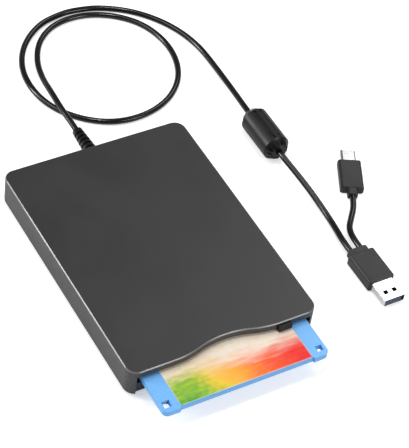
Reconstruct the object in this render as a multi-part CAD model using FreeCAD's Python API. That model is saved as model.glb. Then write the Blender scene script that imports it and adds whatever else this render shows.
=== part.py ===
import FreeCAD, Part
import math
import os

# External floppy disk drive. Millimetres, +Z up, +Y to the back, +X to the right when
# the slot faces the viewer. The origin is under the middle of the drive and its disk,
# on the surface that the rubber feet stand on. The case and the disk have their own
# sizes. The holder, the slide and the chassis follow round the disk, each with its gap.

V = FreeCAD.Vector

# Overall size of the case
case_width = 103.0
case_length = 143.0
case_height = 17.2

# Floppy disk
disk_width = 90.0
disk_length = 94.0
disk_thickness = 3.3
hub_from_lead = 46.0
media_r = 42.9
media_thickness = 0.1
media_gap = 0.35
media_room = 0.4
disk_corner_r = 3.0
disk_key_cut = 4.5
disk_front_recess = 0.9
disk_front_tab = 8.7
hub_opening_r = 13.2
hub_plate_r = 12.5
hub_collar_r = 10.8
hub_thickness = 1.0
hub_recess = 0.1
hub_square = 4.0
hub_slot_near = 4.6
hub_slot_far = 9.2
hub_slot_half = 3.6
head_window_width = 9.0
head_window_length = 22.5
head_window_margin = 0.9
head_window_r = 1.5
shutter_sheet = 0.2
shutter_recess = 0.25
shutter_left = 18.0
shutter_right = 12.0
shutter_length = 30.0
shutter_travel = 12.0
shutter_window_gap = 0.3
label_side_margin = 9.2
label_length = 52.0
label_front_margin = 0.3
label_sheet = 0.15
label_recess = 0.2
label_gap = 0.1
label_corner_r = 1.0
liner_sheet = 0.1
liner_edge = 1.0
liner_gap = 0.1
liner_slot_gap = 0.5
sense_hole_inset = 3.4
sense_hole_y = 4.6
sense_hole_size = 4.0
density_hole_size = 3.4
tab_length = 5.2
tab_width = 4.6
tab_travel = 4.9
tab_clear = 0.15
tab_edge_gap = 0.6
tab_floor = 0.5
tab_face_gap = 0.05
tab_slot_half = 1.2
tab_nub_half = 1.0
tab_nub_inset = 1.4

# Where the disk lies: out, as it does after an eject, or home
disk_out = 22.7
disk_seated_depth = 1.0

# Clearances that several pieces share
slide_gap = 0.2
disk_side_gap = 0.3
disk_face_gap = 0.3
disk_drop_gap = 0.3
running_gap = 0.05
pin_gap = 0.05
head_gap = 0.2

# Case
case_corner_r = 6.0
case_wall = 1.8
base_floor = 1.6
top_edge_bevel = 0.5
bottom_edge_r = 2.4
seam_above_round = 0.2
foot_proud = 0.8
foot_r = 4.5
foot_edge_r = 0.4
foot_seat_depth = 0.4
foot_inset = 10.0
base_lip_height = 2.0
base_lip_wall = 0.9
base_lip_gap = 0.1
scoop_depth = 4.4
scoop_half_width = 29.0
scoop_centre_x = 1.0
slot_side_gap = 2.5
slot_top_gap = 1.1
lower_front_setback = 1.4
tongue_x = 24.0
tongue_half = 4.0
tongue_sheet = 0.9
tongue_drop = 1.0
snap_gap = 0.15
boss_gap = 0.15
screw_boss_r = 3.2
screw_pad_height = 2.0
screw_head_r = 2.4
screw_head = 1.4
screw_head_cover = 0.1
screw_shank_r = 1.1
screw_length = 9.0
screw_cross_half = 1.4
screw_cross_width = 0.6
screw_cross_depth = 0.7

# Chassis
chassis_sheet = 1.0
chassis_lift = 0.5
chassis_front_gap = 0.45
chassis_roof_gap = 1.2
chassis_board_gap = 1.0
chassis_screw_inset = 10.8
chassis_screw_front = 3.4
chassis_screw_back = 2.2
chassis_seat_r = 3.0
chassis_hole_r = 1.0
chassis_screw_r = 0.85
chassis_screw_seat_r = 0.9
chassis_screw_head_r = 2.0
chassis_screw_head = 0.8
chassis_screw_length = 2.4
chassis_screw_bite = 2.0
chassis_slot_half = 1.5
chassis_slot_width = 0.5
chassis_slot_depth = 0.35
side_window = (26.0, 41.0, -2.85, 41.15)
middle_window = (-9.0, 5.0, 29.15, 57.15)
chassis_window_r = 3.0

# Disk holder and its pins
holder_sheet = 0.5
holder_flange = 2.6
holder_front_gap = 1.0
holder_tail = 1.35
holder_drop = 1.1
holder_stop = (30.0, 36.0)
holder_window_gap = 0.55
holder_opening_x = 22.0
holder_opening_half = 8.0
holder_opening = (16.5, 38.5)
guide_pin_r = 0.9
guide_pin_front = 17.5
guide_pin_back = 15.0
guide_pin_depth = 1.2
guide_pin_tip = 0.1

# Slide and eject button
slide_sheet = 0.6
slide_travel = 3.0
slide_press = 0.6
slide_tail = 11.7
slide_deck_gap = 0.5
slide_deck_clear = 4.6
slide_window_left = 8.6
slide_window_right = 22.6
slide_window_front = 9.0
slide_window_back = 8.0
slide_window_r = 4.0
button_width = 7.3
button_height = 3.0
button_centre_x = 32.0
button_above_disk = 0.4
button_proud = 2.15
button_length = 8.3
button_notch_gap = 0.3
button_edge_r = 0.35
button_arm_width = 4.0
button_arm_grip = 2.0

# Slide springs
spring_inset = 6.0
spring_lift = 2.5
spring_r = 1.4
spring_wire = 0.35
spring_end_gap = 0.05
spring_turns = 14
spring_front = 8.0
spring_length = 22.0
spring_hook = 1.4
spring_hook_half = 1.2
spring_tab_gap = 0.4
spring_tab = 1.6
spring_tab_half = 0.3

# Shutter lever
lever_arm = 22.0
lever_sheet = 0.6
lever_half_width = 2.0
lever_hub_r = 3.6
lever_head_r = 2.2
lever_pivot_inset = 9.0
lever_pin_r = 1.2
lever_pin_gap = 0.711
lever_rest_deg = 25.0
lever_swing_deg = 55.0
lever_slot_gap = 0.4
lever_slot_deg = 6.0
rivet_r = 1.5
rivet_head_r = 2.3
rivet_head = 0.35

# Spindle motor
motor_board_thickness = 0.8
motor_board_left = 18.5
motor_board_right = 24.0
motor_board_front = 27.0
motor_board_clip_gap = 3.7
motor_board_r = 3.0
motor_board_holes = ((-15.0, -23.0), (20.5, -23.0), (20.5, 22.5))
motor_hole_r = 1.2
rotor_gap = 0.3
rotor_r = 17.5
rotor_top = 0.7
rotor_wall = 0.8
rotor_height = 2.5
magnet_thickness = 1.95
magnet_inset = 0.1
spindle_shaft_r = 2.0
spindle_tip_gap = 0.2
spindle_end_gap = 0.2
spindle_table_r = 12.0
spindle_table = 0.5
spindle_table_edge_r = 0.3
shaft_proud = 0.6
drive_pin_orbit = 7.9
drive_pin_r = 1.0
bearing_r = 4.4
bearing_top_gap = 0.2
stator_air_gap = 1.25
stator_core = 0.9
stator_core_width = 2.6
stator_poles = 12
tooth_half = 1.1
tooth_root = 1.0
winding_half = 1.7
winding_height = 1.35
winding_root = 3.4
winding_end = 1.2

# Heads, carriage and stepper
head_outer_margin = 3.4
head_travel = 14.8
head_size = 7.6
head_thickness = 1.2
upper_head_thickness = 0.9
head_edge = 0.25
lower_arm_half = 8.0
lower_arm_sheet = 2.0
lower_arm_front = 1.0
carriage_front_gap = 8.0
carriage_lift = 0.4
carriage_height = 4.5
carriage_left = 5.0
carriage_right = 9.0
carriage_post_gap = 0.2
carriage_post_above = 1.0
head_arm_half = 8.2
head_arm_sheet = 0.7
head_arm_front = 0.5
head_arm_corner_r = 1.0
head_arm_lug = 1.0
head_arm_lug_half = 1.5
head_arm_lug_drop = 1.4
head_arm_window_half = 4.0
head_arm_window_front = 8.0
head_arm_window_back = 5.0
arm_pivot_back = 26.65
arm_pivot_drop = 1.8
arm_pin_r = 0.8
arm_pin_end = 0.4
nut_half_length = 2.5
nut_gap = 0.3
nut_side = 3.5
nut_below = 2.0
nut_above = 2.2
nut_web_above = 1.0
lead_screw_pitch = 3.0
lead_screw_r = 1.5
lead_screw_x = 13.0
screw_end_gap = 0.45
screw_bearing_half = 0.9
screw_bearing_side = 2.2
screw_tail = 3.8
groove_depth = 0.4
groove_half = 2.0
groove_width = 0.7
groove_turn_deg = 25.0
groove_start = 1.5
stepper_r = 5.3
stepper_length = 11.2
stepper_floor_gap = 0.2
stepper_lug = (4.0, 6.5)
stepper_lug_length = (1.0, 7.0)
stepper_lug_height = (0.3, 4.0)
bracket_gap = 0.5
bracket_sheet = 0.6
bracket_half = 6.5
bracket_foot = 5.3
bracket_foot_length = 7.0
bracket_link_drop = 1.0
bracket_hole_gap = 0.2
guide_rod_r = 1.5
guide_rod_x = -12.0
guide_rod_lift = 2.4
rod_clip = 2.0
rod_clip_half = 3.0
rod_clip_above = 2.0
rod_clip_gap = 0.5
rod_end = 0.3
rod_back = 5.0

# Boards
drive_board_side_gap = 1.8
drive_board_motor_gap = 1.5
drive_board_thickness = 1.0
drive_board_lift = 0.3
drive_board_front = 2.85
drive_board_back = 5.0
drive_board_r = 1.5
drive_peg_r = 1.2
drive_peg_inset = 3.0
drive_peg_front = 4.0
chip_seat = 0.1
chip_leg_out = 1.0
chip_leg_half = 0.2
chip_leg_thick = 0.3
chip_leg_pitch = 1.27
drive_chip_sizes = ((-0.5, 15.15, 9.0, 12.0, 1.6), (0.5, 37.15, 7.0, 10.0, 1.5),
                    (-5.5, 56.15, 4.0, 5.2, 1.4))
crystal_size = (3.5, 51.15, 5.0, 2.5, 1.5)
capacitor_place = (5.5, 60.15)
capacitor_r = 2.2
capacitor_height = 1.9
usb_board_lift = 2.6
usb_board_thickness = 1.2
usb_board_depth = 7.8
usb_board_motor_gap = 0.7
usb_board_left_inset = 17.5
usb_board_right_inset = 25.5
usb_post_places = (-15.6, 20.0)
usb_post_front = 3.0
usb_post_r = 2.0
usb_post_hole_r = 0.7
usb_post_hole = 2.0
usb_hole_r = 0.8
usb_screw_r = 0.65
usb_screw_length = 3.0
usb_screw_head_r = 1.6
usb_screw_head = 0.7
usb_chip_size = (-9.0, 3.9, 5.0, 5.4, 1.5)
usb_small_parts = ((13.6, 3.5, 3.2, 3.0, 1.0), (9.8, 2.5, 1.6, 1.0, 0.8))
socket_span = (0.5, 12.0)
socket_length = 2.8
socket_back = 6.2
socket_height = 1.6
usb_socket_front = 2.4
usb_socket_length = 2.6
ribbon_margin = 1.0
ribbon_lift = 0.6
ribbon_sheet = 0.2
header_half = 5.0
header_depth = 4.0
header_height = 4.2
header_inset = 0.4
wire_r = 0.5
wire_pitch = 2.0
wire_count = 4
switch_half = 1.9
switch_front = 1.9
switch_back = 4.2
switch_height = 3.1
switch_floor = 0.6
switch_ledge_margin = 0.2
plunger_r = 1.0
plunger_travel = 0.9
plunger_end_gap = 0.2
plunger_edge = 0.2
disk_in_switch_inset = 14.0
disk_in_switch_back = 12.0

# Cord, choke and plugs
cord_r = 1.65
cord_arc_share = 0.45
relief_x = 2.0
relief_above_base = 8.2
relief_length = 21.2
relief_root_r = 3.9
relief_end_r = 2.75
relief_neck_r = 3.3
relief_flange = 1.5
relief_flange_half = 5.0
relief_ribs = 6
relief_rib_start = 2.0
relief_rib_end = 1.5
relief_groove_depth = 0.7
relief_groove_width = 1.0
relief_groove_slope = 0.15
relief_edge = 0.4
choke_r = 7.6
choke_body = 23.6
choke_cap = 3.3
choke_cap_step = 0.5
choke_end_r = 5.0
choke_wall = 1.0
choke_bore_gap = 0.15
choke_core_gap = 0.1
choke_ribs = 14
choke_notch_half = 0.45
choke_notch_depth = 0.9
choke_strip_half = 0.75
choke_strip_proud = 0.2
choke_catch_inset = 1.8
choke_catch_x = 1.9
choke_catch_half = 0.75
choke_catch_depth = 0.6
choke_x = 94.8
choke_y = 65.0
usb_a_x = 98.0
usb_a_back_y = -27.8
usb_a_width = 15.2
usb_a_length = 20.4
usb_a_thickness = 7.2
usb_a_corner_r = 1.6
usb_a_edge = 0.5
usb_a_collar = 3.8
usb_a_collar_width = 11.2
usb_a_collar_thickness = 5.4
usb_a_collar_r = 1.4
usb_a_shell_width = 12.0
usb_a_shell_thickness = 4.5
usb_a_shell_length = 12.6
usb_a_shell_corner_r = 0.6
usb_a_inner_corner_r = 0.3
usb_a_hole_x = 2.55
usb_a_hole_half = 1.25
usb_a_hole = (6.5, 9.0)
usb_a_tongue_half = 5.35
usb_a_tongue_thickness = 1.84
usb_a_tongue_short = 1.6
usb_a_contact_x = (-3.5, -1.0, 1.0, 3.5)
usb_a_contact_half = 0.5
usb_a_contact_length = (2.0, 9.6)
usb_a_contact_sheet = 0.12
collar_overlap = 1.0
usb_shell_sheet = 0.3
usb_shell_seat = 0.5
usb_c_centre = (124.0, 23.2)
usb_c_turn_deg = -26.7
usb_c_width = 12.6
usb_c_length = 20.6
usb_c_thickness = 5.2
usb_c_corner_r = 1.5
usb_c_edge = 0.4
usb_c_collar = 4.4
usb_c_collar_width = 5.4
usb_c_collar_thickness = 4.4
usb_c_collar_r = 1.1
usb_c_shell_width = 8.25
usb_c_shell_thickness = 2.4
usb_c_shell_length = 8.4
usb_c_insert_short = 1.2
usb_c_slot_half_width = 3.3
usb_c_slot_half = 0.4
usb_c_slot_start = 1.6
flat_side = 0.02

# The main cord leaves the strain relief, goes over its own return, once round a loop,
# through the choke and into the plug. Points are chosen along the lie of the cord.
main_cord_points = [
    (2.0, 104.05, 9.0), (2.0, 112.5, 9.0), (1.8, 122.5, 8.9), (2.7, 137.0, 8.6),
    (5.4, 152.5, 3.6), (9.3, 168.0, 1.75), (17.5, 182.5, 1.65), (31.0, 192.3, 1.65),
    (48.5, 194.0, 1.65), (64.5, 188.0, 1.65), (77.5, 175.5, 1.65), (83.2, 158.5, 1.65),
    (82.5, 141.5, 1.65), (75.8, 125.5, 1.65), (62.5, 113.0, 1.65), (45.0, 107.0, 1.65),
    (26.8, 108.5, 1.65), (12.0, 117.5, 1.65), (1.2, 131.5, 1.65), (-2.9, 148.0, 1.65),
    (-1.0, 166.0, 1.65), (7.8, 182.5, 1.65), (23.0, 195.2, 1.65), (42.5, 199.8, 1.65),
    (62.0, 195.8, 1.65), (79.5, 184.8, 1.65), (92.5, 167.5, 1.65), (99.0, 147.5, 1.65),
    (99.3, 127.0, 1.75), (97.6, 105.0, 4.0), (choke_x, 86.0, choke_r), (choke_x, 44.0, choke_r),
    (97.2, 26.0, 4.9), (98.5, 9.5, 1.9), (97.4, -5.0, 1.9), (95.0, -16.0, usb_a_thickness / 2),
    (95.0, -24.0, usb_a_thickness / 2)]
tether_cord_points = [
    (101.0, -24.0, usb_a_thickness / 2), (101.0, -17.0, usb_a_thickness / 2),
    (103.2, -9.0, 2.7), (108.2, -3.0, 2.4), (114.25, 3.814, usb_c_thickness / 2),
    (117.395, 10.067, usb_c_thickness / 2)]

# How far a cutting tool runs past what it cuts
past = 1.0

# Sizes that follow from those above
half_w = case_width / 2
head_outer_track = media_r - head_outer_margin
head_window_outer = media_r - head_window_margin
sense_hole_x = disk_width / 2 - sense_hole_inset
label_half = disk_width / 2 - label_side_margin
disk_in_switch_x = disk_width / 2 - disk_in_switch_inset
stator_r = rotor_r - rotor_wall - magnet_thickness - stator_air_gap
carriage_post_half = head_arm_half - head_arm_lug - carriage_post_gap
disk_travel = disk_out + disk_seated_depth

# Half widths, from the disk outwards
holder_in = disk_width / 2 + disk_side_gap
holder_out = holder_in + holder_sheet
slide_in = holder_out + slide_gap
slide_out = slide_in + slide_sheet
chassis_in = slide_out + slide_gap
chassis_out = chassis_in + chassis_sheet
slot_half = disk_width / 2 + slot_side_gap
spring_x = slide_in - spring_inset
chassis_screw_x = chassis_in - chassis_screw_inset
lever_pivot_x = -(disk_width / 2 - lever_pivot_inset)

# Lengths, from the case front to its back
spindle_from_front = disk_length + disk_seated_depth - hub_from_lead
pivot_from_front = spindle_from_front + head_outer_track + arm_pivot_back
motor_from_front = pivot_from_front + nut_half_length + bracket_gap + bracket_sheet
boards_from_front = motor_from_front + stepper_length + usb_board_motor_gap
case_back_y = (case_length + disk_out) / 2
case_front_y = case_back_y - case_length
disk_front_y = case_front_y - disk_out
disk_lead_y = disk_front_y + disk_length
seated_lead_y = disk_lead_y + disk_travel
hub_y = disk_lead_y - hub_from_lead
spindle_y = case_front_y + spindle_from_front
head_y = spindle_y + head_outer_track
arm_pivot_y = case_front_y + pivot_from_front
nut_front_y = arm_pivot_y - nut_half_length
nut_back_y = arm_pivot_y + nut_half_length
bracket_y = nut_back_y + bracket_gap
motor_y = case_front_y + motor_from_front
usb_board_y = case_front_y + boards_from_front
screw_front_y = nut_front_y - head_travel - screw_end_gap - screw_bearing_half
carriage_front_y = head_y + carriage_front_gap
rod_front_y = carriage_front_y - head_travel - rod_clip_gap - rod_clip - rod_end
rod_back_y = nut_back_y + rod_back
motor_board_back_y = rod_front_y + rod_end - motor_board_clip_gap
lower_front_y = case_front_y + lower_front_setback
chassis_front_y = case_front_y + scoop_depth + case_wall + chassis_front_gap
chassis_back_y = usb_board_y - chassis_board_gap
holder_front_y = chassis_front_y + holder_front_gap
holder_back_y = seated_lead_y + disk_face_gap + holder_sheet + holder_tail
guide_pin_y = (holder_front_y + guide_pin_front, holder_back_y - guide_pin_back)
lever_rest = math.radians(lever_rest_deg)
lever_pivot_y = disk_lead_y + lever_arm * math.cos(lever_rest) + lever_pin_r + lever_pin_gap
slide_front_y = chassis_front_y + slide_travel + slide_gap
slide_back_y = guide_pin_y[1] + slide_tail
slide_deck_back_y = lever_pivot_y - lever_arm - lever_head_r - slide_deck_clear
button_front_y = case_front_y - button_proud
spring_front_y = chassis_front_y + spring_front
tab_front_y = spring_front_y + spring_length + slide_travel + spring_tab_gap
front_foot_y = case_front_y + foot_inset
rear_foot_y = chassis_back_y + boss_gap + screw_boss_r
drive_board_front_y = spindle_y - drive_board_front
drive_board_back_y = chassis_back_y - drive_board_back
header_back_y = usb_board_y + usb_board_depth - header_inset
relief_flange_y = case_back_y - case_wall - relief_flange
relief_end_y = case_back_y + relief_length

# Heights, from the feet up to the roof
base_top_z = foot_proud + base_floor
seam_z = foot_proud + bottom_edge_r + seam_above_round
screw_pad_z = base_top_z + screw_pad_height
chassis_z = base_top_z + chassis_lift
deck_z = chassis_z + chassis_sheet
cup_low_z = deck_z + motor_board_thickness + rotor_gap
cup_top_z = cup_low_z + rotor_height
table_top_z = cup_top_z + spindle_table
shaft_tip_z = table_top_z + shaft_proud
disk_low_z = shaft_tip_z + spindle_tip_gap
disk_bottom_z = disk_low_z + holder_drop
disk_top_z = disk_bottom_z + disk_thickness
disk_mid_z = (disk_top_z + disk_bottom_z) / 2
media_z = disk_mid_z - media_thickness / 2
holder_floor_z = disk_bottom_z - disk_face_gap
holder_plate_z = disk_top_z + disk_face_gap
holder_top_z = holder_plate_z + holder_sheet
slide_deck_z = holder_top_z + slide_deck_gap
slide_top_z = slide_deck_z + slide_sheet
case_top_z = foot_proud + case_height
roof_z = case_top_z - case_wall
chassis_wall_z = roof_z - chassis_roof_gap
slot_bottom_z = disk_low_z - disk_drop_gap
slot_top_z = disk_top_z + slot_top_gap
button_low_z = disk_top_z + button_above_disk
button_top_z = button_low_z + button_height
guide_pin_z = disk_top_z - guide_pin_depth
lower_head_z = disk_low_z - head_gap
head_arm_z = holder_plate_z + upper_head_thickness
arm_pivot_z = head_arm_z - arm_pivot_drop
lead_screw_z = deck_z + stepper_floor_gap + stepper_r
guide_rod_z = deck_z + guide_rod_lift
spring_z = deck_z + spring_lift
carriage_top_z = deck_z + carriage_height
drive_board_z = deck_z + drive_board_lift
drive_board_top_z = drive_board_z + drive_board_thickness
usb_board_z = base_top_z + usb_board_lift
usb_board_top_z = usb_board_z + usb_board_thickness
relief_z = foot_proud + relief_above_base
usb_a_mid_z = usb_a_thickness / 2
usb_c_mid_z = usb_c_thickness / 2
usb_a_front_y = usb_a_back_y - usb_a_length


def box(x0, x1, y0, y1, z0, z1):
    return Part.makeBox(x1 - x0, y1 - y0, z1 - z0, V(x0, y0, z0))


def box_about(x, y, half_x, half_y, z0, z1):
    return box(x - half_x, x + half_x, y - half_y, y + half_y, z0, z1)


def rod(radius, length, base, direction=(0, 0, 1)):
    return Part.makeCylinder(radius, length, V(*base), V(*direction))


def ring(outer, inner, length, base, direction=(0, 0, 1)):
    return rod(outer, length, base, direction).cut(rod(inner, length, base, direction))


def rounded_box(x0, x1, y0, y1, z0, z1, radius):
    body = box(x0, x1, y0, y1, z0, z1)
    height = z1 - z0
    uprights = [e for e in body.Edges if abs(e.Vertexes[0].Z - e.Vertexes[1].Z) > height / 2]
    return body.makeFillet(radius, uprights)


def edges_at(shape, height):
    """The edges that lie flat at a height."""
    return [e for e in shape.Edges
            if abs(e.BoundBox.ZMin - height) < 1e-4 and abs(e.BoundBox.ZMax - height) < 1e-4]


def edges_along_y(shape, length):
    return [e for e in shape.Edges if e.BoundBox.YLength > length - 1e-3]


def cut_all(body, tools):
    for tool in tools:
        body = body.cut(tool)
    return body


def join(first, others):
    for other in others:
        first = first.fuse(other)
    return first.removeSplitter()


def group(shapes):
    return Part.makeCompound([solid for shape in shapes for solid in shape.Solids])


def on_side(side, near, far):
    """The span from near to far on the left (-1) or right (1) of the middle."""
    return sorted((side * near, side * far))


def oblong(x0, x1, start, end, radius):
    """A slot through X from one (y, z) point to another."""
    dy, dz = end[0] - start[0], end[1] - start[1]
    run = math.hypot(dy, dz)
    body = Part.makeBox(x1 - x0, run, 2 * radius, V(x0, 0, -radius))
    body.rotate(V(0, 0, 0), V(1, 0, 0), math.degrees(math.atan2(dz, dy)))
    body.translate(V(0, start[0], start[1]))
    ends = [rod(radius, x1 - x0, (x0, p[0], p[1]), (1, 0, 0)) for p in (start, end)]
    return join(body, ends)


def scoop(back_shift, z0, z1):
    """The shallow curved bite in the front edge, moved back by a wall where asked."""
    half = scoop_half_width
    depth = scoop_depth
    radius = ((half / 2) ** 2 + (depth / 2) ** 2) / depth
    turn = math.asin(half / 2 / radius)
    edge_y = case_front_y + back_shift
    reach = 4 * depth

    def point(x, y):
        return V(scoop_centre_x + x, edge_y + y, z0)

    def on_shoulder(side, angle):
        return point(side * (half - radius * math.sin(angle)), radius * (1 - math.cos(angle)))

    def on_bowl(angle):
        return point(radius * math.sin(angle), depth - radius * (1 - math.cos(angle)))

    edges = [
        Part.Arc(point(-half, 0), on_shoulder(-1, turn / 2), on_shoulder(-1, turn)).toShape(),
        Part.Arc(on_bowl(-turn), on_bowl(0), on_bowl(turn)).toShape(),
        Part.Arc(on_shoulder(1, turn), on_shoulder(1, turn / 2), point(half, 0)).toShape(),
        Part.LineSegment(point(half, 0), point(half, -reach)).toShape(),
        Part.LineSegment(point(half, -reach), point(-half, -reach)).toShape(),
        Part.LineSegment(point(-half, -reach), point(-half, 0)).toShape()]
    return Part.Face(Part.Wire(edges)).extrude(V(0, 0, z1 - z0))


def case_block(inset, z0, z1):
    return rounded_box(-half_w + inset, half_w - inset, case_front_y + inset,
                       case_back_y - inset, z0, z1, case_corner_r - inset)


def foot_places():
    foot_x = half_w - foot_inset
    return [(x, y) for y in (front_foot_y, rear_foot_y) for x in (-foot_x, foot_x)]


def rear_screw_places():
    return [(x, y) for x, y in foot_places() if y == rear_foot_y]


def chassis_screw_places():
    ys = (chassis_front_y + chassis_screw_front, chassis_back_y - chassis_screw_back)
    return [(x, y) for x in (-chassis_screw_x, chassis_screw_x) for y in ys]


def usb_post_spots():
    return [(x, usb_board_y + usb_post_front) for x in usb_post_places]


def front_setback(z1):
    """Room in front of the lower front wall, with the round along its bottom edge."""
    x, y, r = slot_half, lower_front_y, bottom_edge_r
    corner = box(-x, x, y, y + r, foot_proud - past, foot_proud + r)
    corner = corner.cut(rod(r, 2 * x, (-x, y + r, foot_proud + r), (1, 0, 0)))
    return box(-x, x, case_front_y - past, y, 0, z1).fuse(corner)


def top_cover():
    upper = case_block(0, slot_top_z, case_top_z).cut(scoop(0, slot_top_z, case_top_z))
    upper = upper.makeChamfer(top_edge_bevel, edges_at(upper, case_top_z))
    lower = case_block(0, seam_z, slot_top_z)
    lower = lower.cut(front_setback(slot_bottom_z))
    shell = upper.fuse(lower)
    room = case_block(case_wall, slot_top_z, roof_z)
    room = room.cut(scoop(case_wall, slot_top_z, roof_z))
    low_room = case_block(case_wall, seam_z, slot_top_z)
    front = box(-half_w, half_w, case_front_y, lower_front_y + case_wall, 0, slot_top_z)
    low_room = low_room.cut(front)
    mouth = box(-slot_half, slot_half, case_front_y - past, chassis_front_y,
                slot_bottom_z, slot_top_z)
    side = button_width / 2 + button_notch_gap
    notch = box(button_centre_x - side, button_centre_x + side, case_front_y - past,
                slide_front_y, disk_top_z, button_top_z + button_notch_gap)
    shell = cut_all(shell, [room, low_room, mouth, notch])
    bosses = [rod(screw_boss_r, roof_z - screw_pad_z, (x, y, screw_pad_z))
              for x, y in rear_screw_places()]
    shell = join(shell, bosses)
    holes = [rod(screw_shank_r, screw_length, (x, y, screw_pad_z))
             for x, y in rear_screw_places()]
    neck = (relief_x, case_back_y - case_wall - past, relief_z)
    holes.append(rod(relief_neck_r, case_wall + 2 * past, neck, (0, 1, 0)))
    return cut_all(shell, holes)


def bottom_cover():
    body = case_block(0, foot_proud, seam_z)
    body = body.makeFillet(bottom_edge_r, edges_at(body, foot_proud))
    body = body.cut(front_setback(seam_z + past))
    room = case_block(case_wall, base_top_z, seam_z)
    inner_front_y = lower_front_y + case_wall
    room = room.cut(box(-half_w, half_w, case_front_y, inner_front_y, 0, seam_z))
    body = body.cut(room)
    inset = case_wall + base_lip_gap
    lip_top = seam_z + base_lip_height
    lip = case_block(inset, base_top_z, lip_top)
    lip = lip.cut(case_block(inset + base_lip_wall, base_top_z, lip_top))
    lip = lip.cut(box(-half_w, half_w, case_front_y, inner_front_y + base_lip_gap, 0, lip_top))
    body = body.fuse(lip)
    tongue_y = inner_front_y + snap_gap
    tongues = [box(x - tongue_half, x + tongue_half, tongue_y, tongue_y + tongue_sheet,
                   base_top_z, slot_bottom_z - tongue_drop) for x in (-tongue_x, tongue_x)]
    pads = [rod(screw_boss_r, screw_pad_height, (x, y, base_top_z))
            for x, y in rear_screw_places()]
    seats = [rod(chassis_seat_r, chassis_lift, (x, y, base_top_z))
             for x, y in chassis_screw_places()]
    posts = [rod(usb_post_r, usb_board_lift, (x, y, base_top_z)) for x, y in usb_post_spots()]
    body = join(body, tongues + pads + seats + posts)
    cuts = [rod(foot_r, foot_seat_depth, (x, y, foot_proud)) for x, y in foot_places()]
    for x, y in rear_screw_places():
        cuts.append(rod(screw_head_r + pin_gap, screw_head + screw_head_cover + foot_seat_depth,
                        (x, y, foot_proud)))
        cuts.append(rod(screw_shank_r + pin_gap, screw_pad_z, (x, y, foot_proud)))
    bite_z = chassis_z - chassis_screw_bite + pin_gap
    cuts += [rod(chassis_screw_seat_r, chassis_screw_bite, (x, y, bite_z))
             for x, y in chassis_screw_places()]
    cuts += [rod(usb_post_hole_r, usb_post_hole, (x, y, usb_board_z - usb_post_hole))
             for x, y in usb_post_spots()]
    return cut_all(body, cuts)


def rubber_feet():
    feet = []
    for x, y in foot_places():
        foot = rod(foot_r - pin_gap, foot_proud + foot_seat_depth, (x, y, 0))
        feet.append(foot.makeFillet(foot_edge_r, edges_at(foot, 0)))
    return group(feet)


def case_screws():
    screws = []
    for x, y in rear_screw_places():
        head_z = foot_proud + foot_seat_depth + screw_head_cover
        head = rod(screw_head_r, screw_head, (x, y, head_z))
        bar = (screw_cross_half, screw_cross_width / 2)
        cross = box_about(x, y, bar[0], bar[1], head_z, head_z + screw_cross_depth)
        cross = cross.fuse(box_about(x, y, bar[1], bar[0], head_z, head_z + screw_cross_depth))
        shank = rod(screw_shank_r, screw_length, (x, y, head_z))
        screws.append(join(head, [shank]).cut(cross))
    return group(screws)


def floor_window(window):
    """A rounded hole in the chassis floor, placed from the spindle."""
    x0, x1, y0, y1 = window
    return rounded_box(x0, x1, spindle_y + y0, spindle_y + y1, chassis_z, deck_z, chassis_window_r)


def chassis():
    y0, y1 = chassis_front_y, chassis_back_y
    floor = box(-chassis_out, chassis_out, y0, y1, chassis_z, deck_z)
    walls = [box(*on_side(side, chassis_in, chassis_out), y0, y1, chassis_z, chassis_wall_z)
             for side in (-1, 1)]
    hooks = [box(x - spring_hook_half, x + spring_hook_half, spring_front_y - spring_hook,
                 spring_front_y, deck_z, spring_z + spring_r) for x in (-spring_x, spring_x)]
    places = sense_switch_places()
    ledges = []
    for x, y in (places["write_protect"], places["density"]):
        ledges.append(box(x - switch_half - switch_ledge_margin, x + switch_half + switch_ledge_margin,
                          y - switch_front - switch_ledge_margin, y0, chassis_z, deck_z))
    body = join(floor, walls + hooks + ledges)
    cuts = [rod(chassis_hole_r, chassis_sheet, (x, y, chassis_z))
            for x, y in chassis_screw_places()]
    for y in guide_pin_y:
        low = (y, guide_pin_z - holder_drop)
        high = (y, guide_pin_z + slide_press * holder_drop / slide_travel)
        for side in (-1, 1):
            wall = on_side(side, chassis_in, chassis_out)
            cuts.append(oblong(*wall, low, high, guide_pin_r + pin_gap))
    cuts += [floor_window(side_window), floor_window(middle_window)]
    return cut_all(body, cuts)


def chassis_screws():
    screws = []
    head_top = deck_z + chassis_screw_head
    for x, y in chassis_screw_places():
        head = rod(chassis_screw_head_r, chassis_screw_head, (x, y, deck_z))
        shank = rod(chassis_screw_r, chassis_screw_length, (x, y, deck_z - chassis_screw_length))
        slot = box_about(x, y, chassis_slot_half, chassis_slot_width / 2,
                         head_top - chassis_slot_depth, head_top)
        screws.append(join(head, [shank]).cut(slot))
    return group(screws)


def lever_path():
    """The arc that the lever's pin sweeps in the holder, with room at both ends."""
    centre = V(lever_pivot_x, lever_pivot_y, holder_plate_z)
    reach = 3 * lever_arm
    back_swing = lever_swing_deg * slide_press / slide_travel
    start = math.radians(lever_rest_deg - back_swing - lever_slot_deg)
    end = math.radians(lever_rest_deg + lever_swing_deg + lever_slot_deg)

    def along(angle):
        return centre + V(reach * math.sin(angle), -reach * math.cos(angle), 0)

    half = lever_pin_r + lever_slot_gap
    path = ring(lever_arm + half, lever_arm - half, holder_sheet, tuple(centre))
    wedge = Part.Face(Part.makePolygon(
        [centre, along(start), along((start + end) / 2), along(end), centre]))
    return path.common(wedge.extrude(V(0, 0, holder_sheet)))


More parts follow.
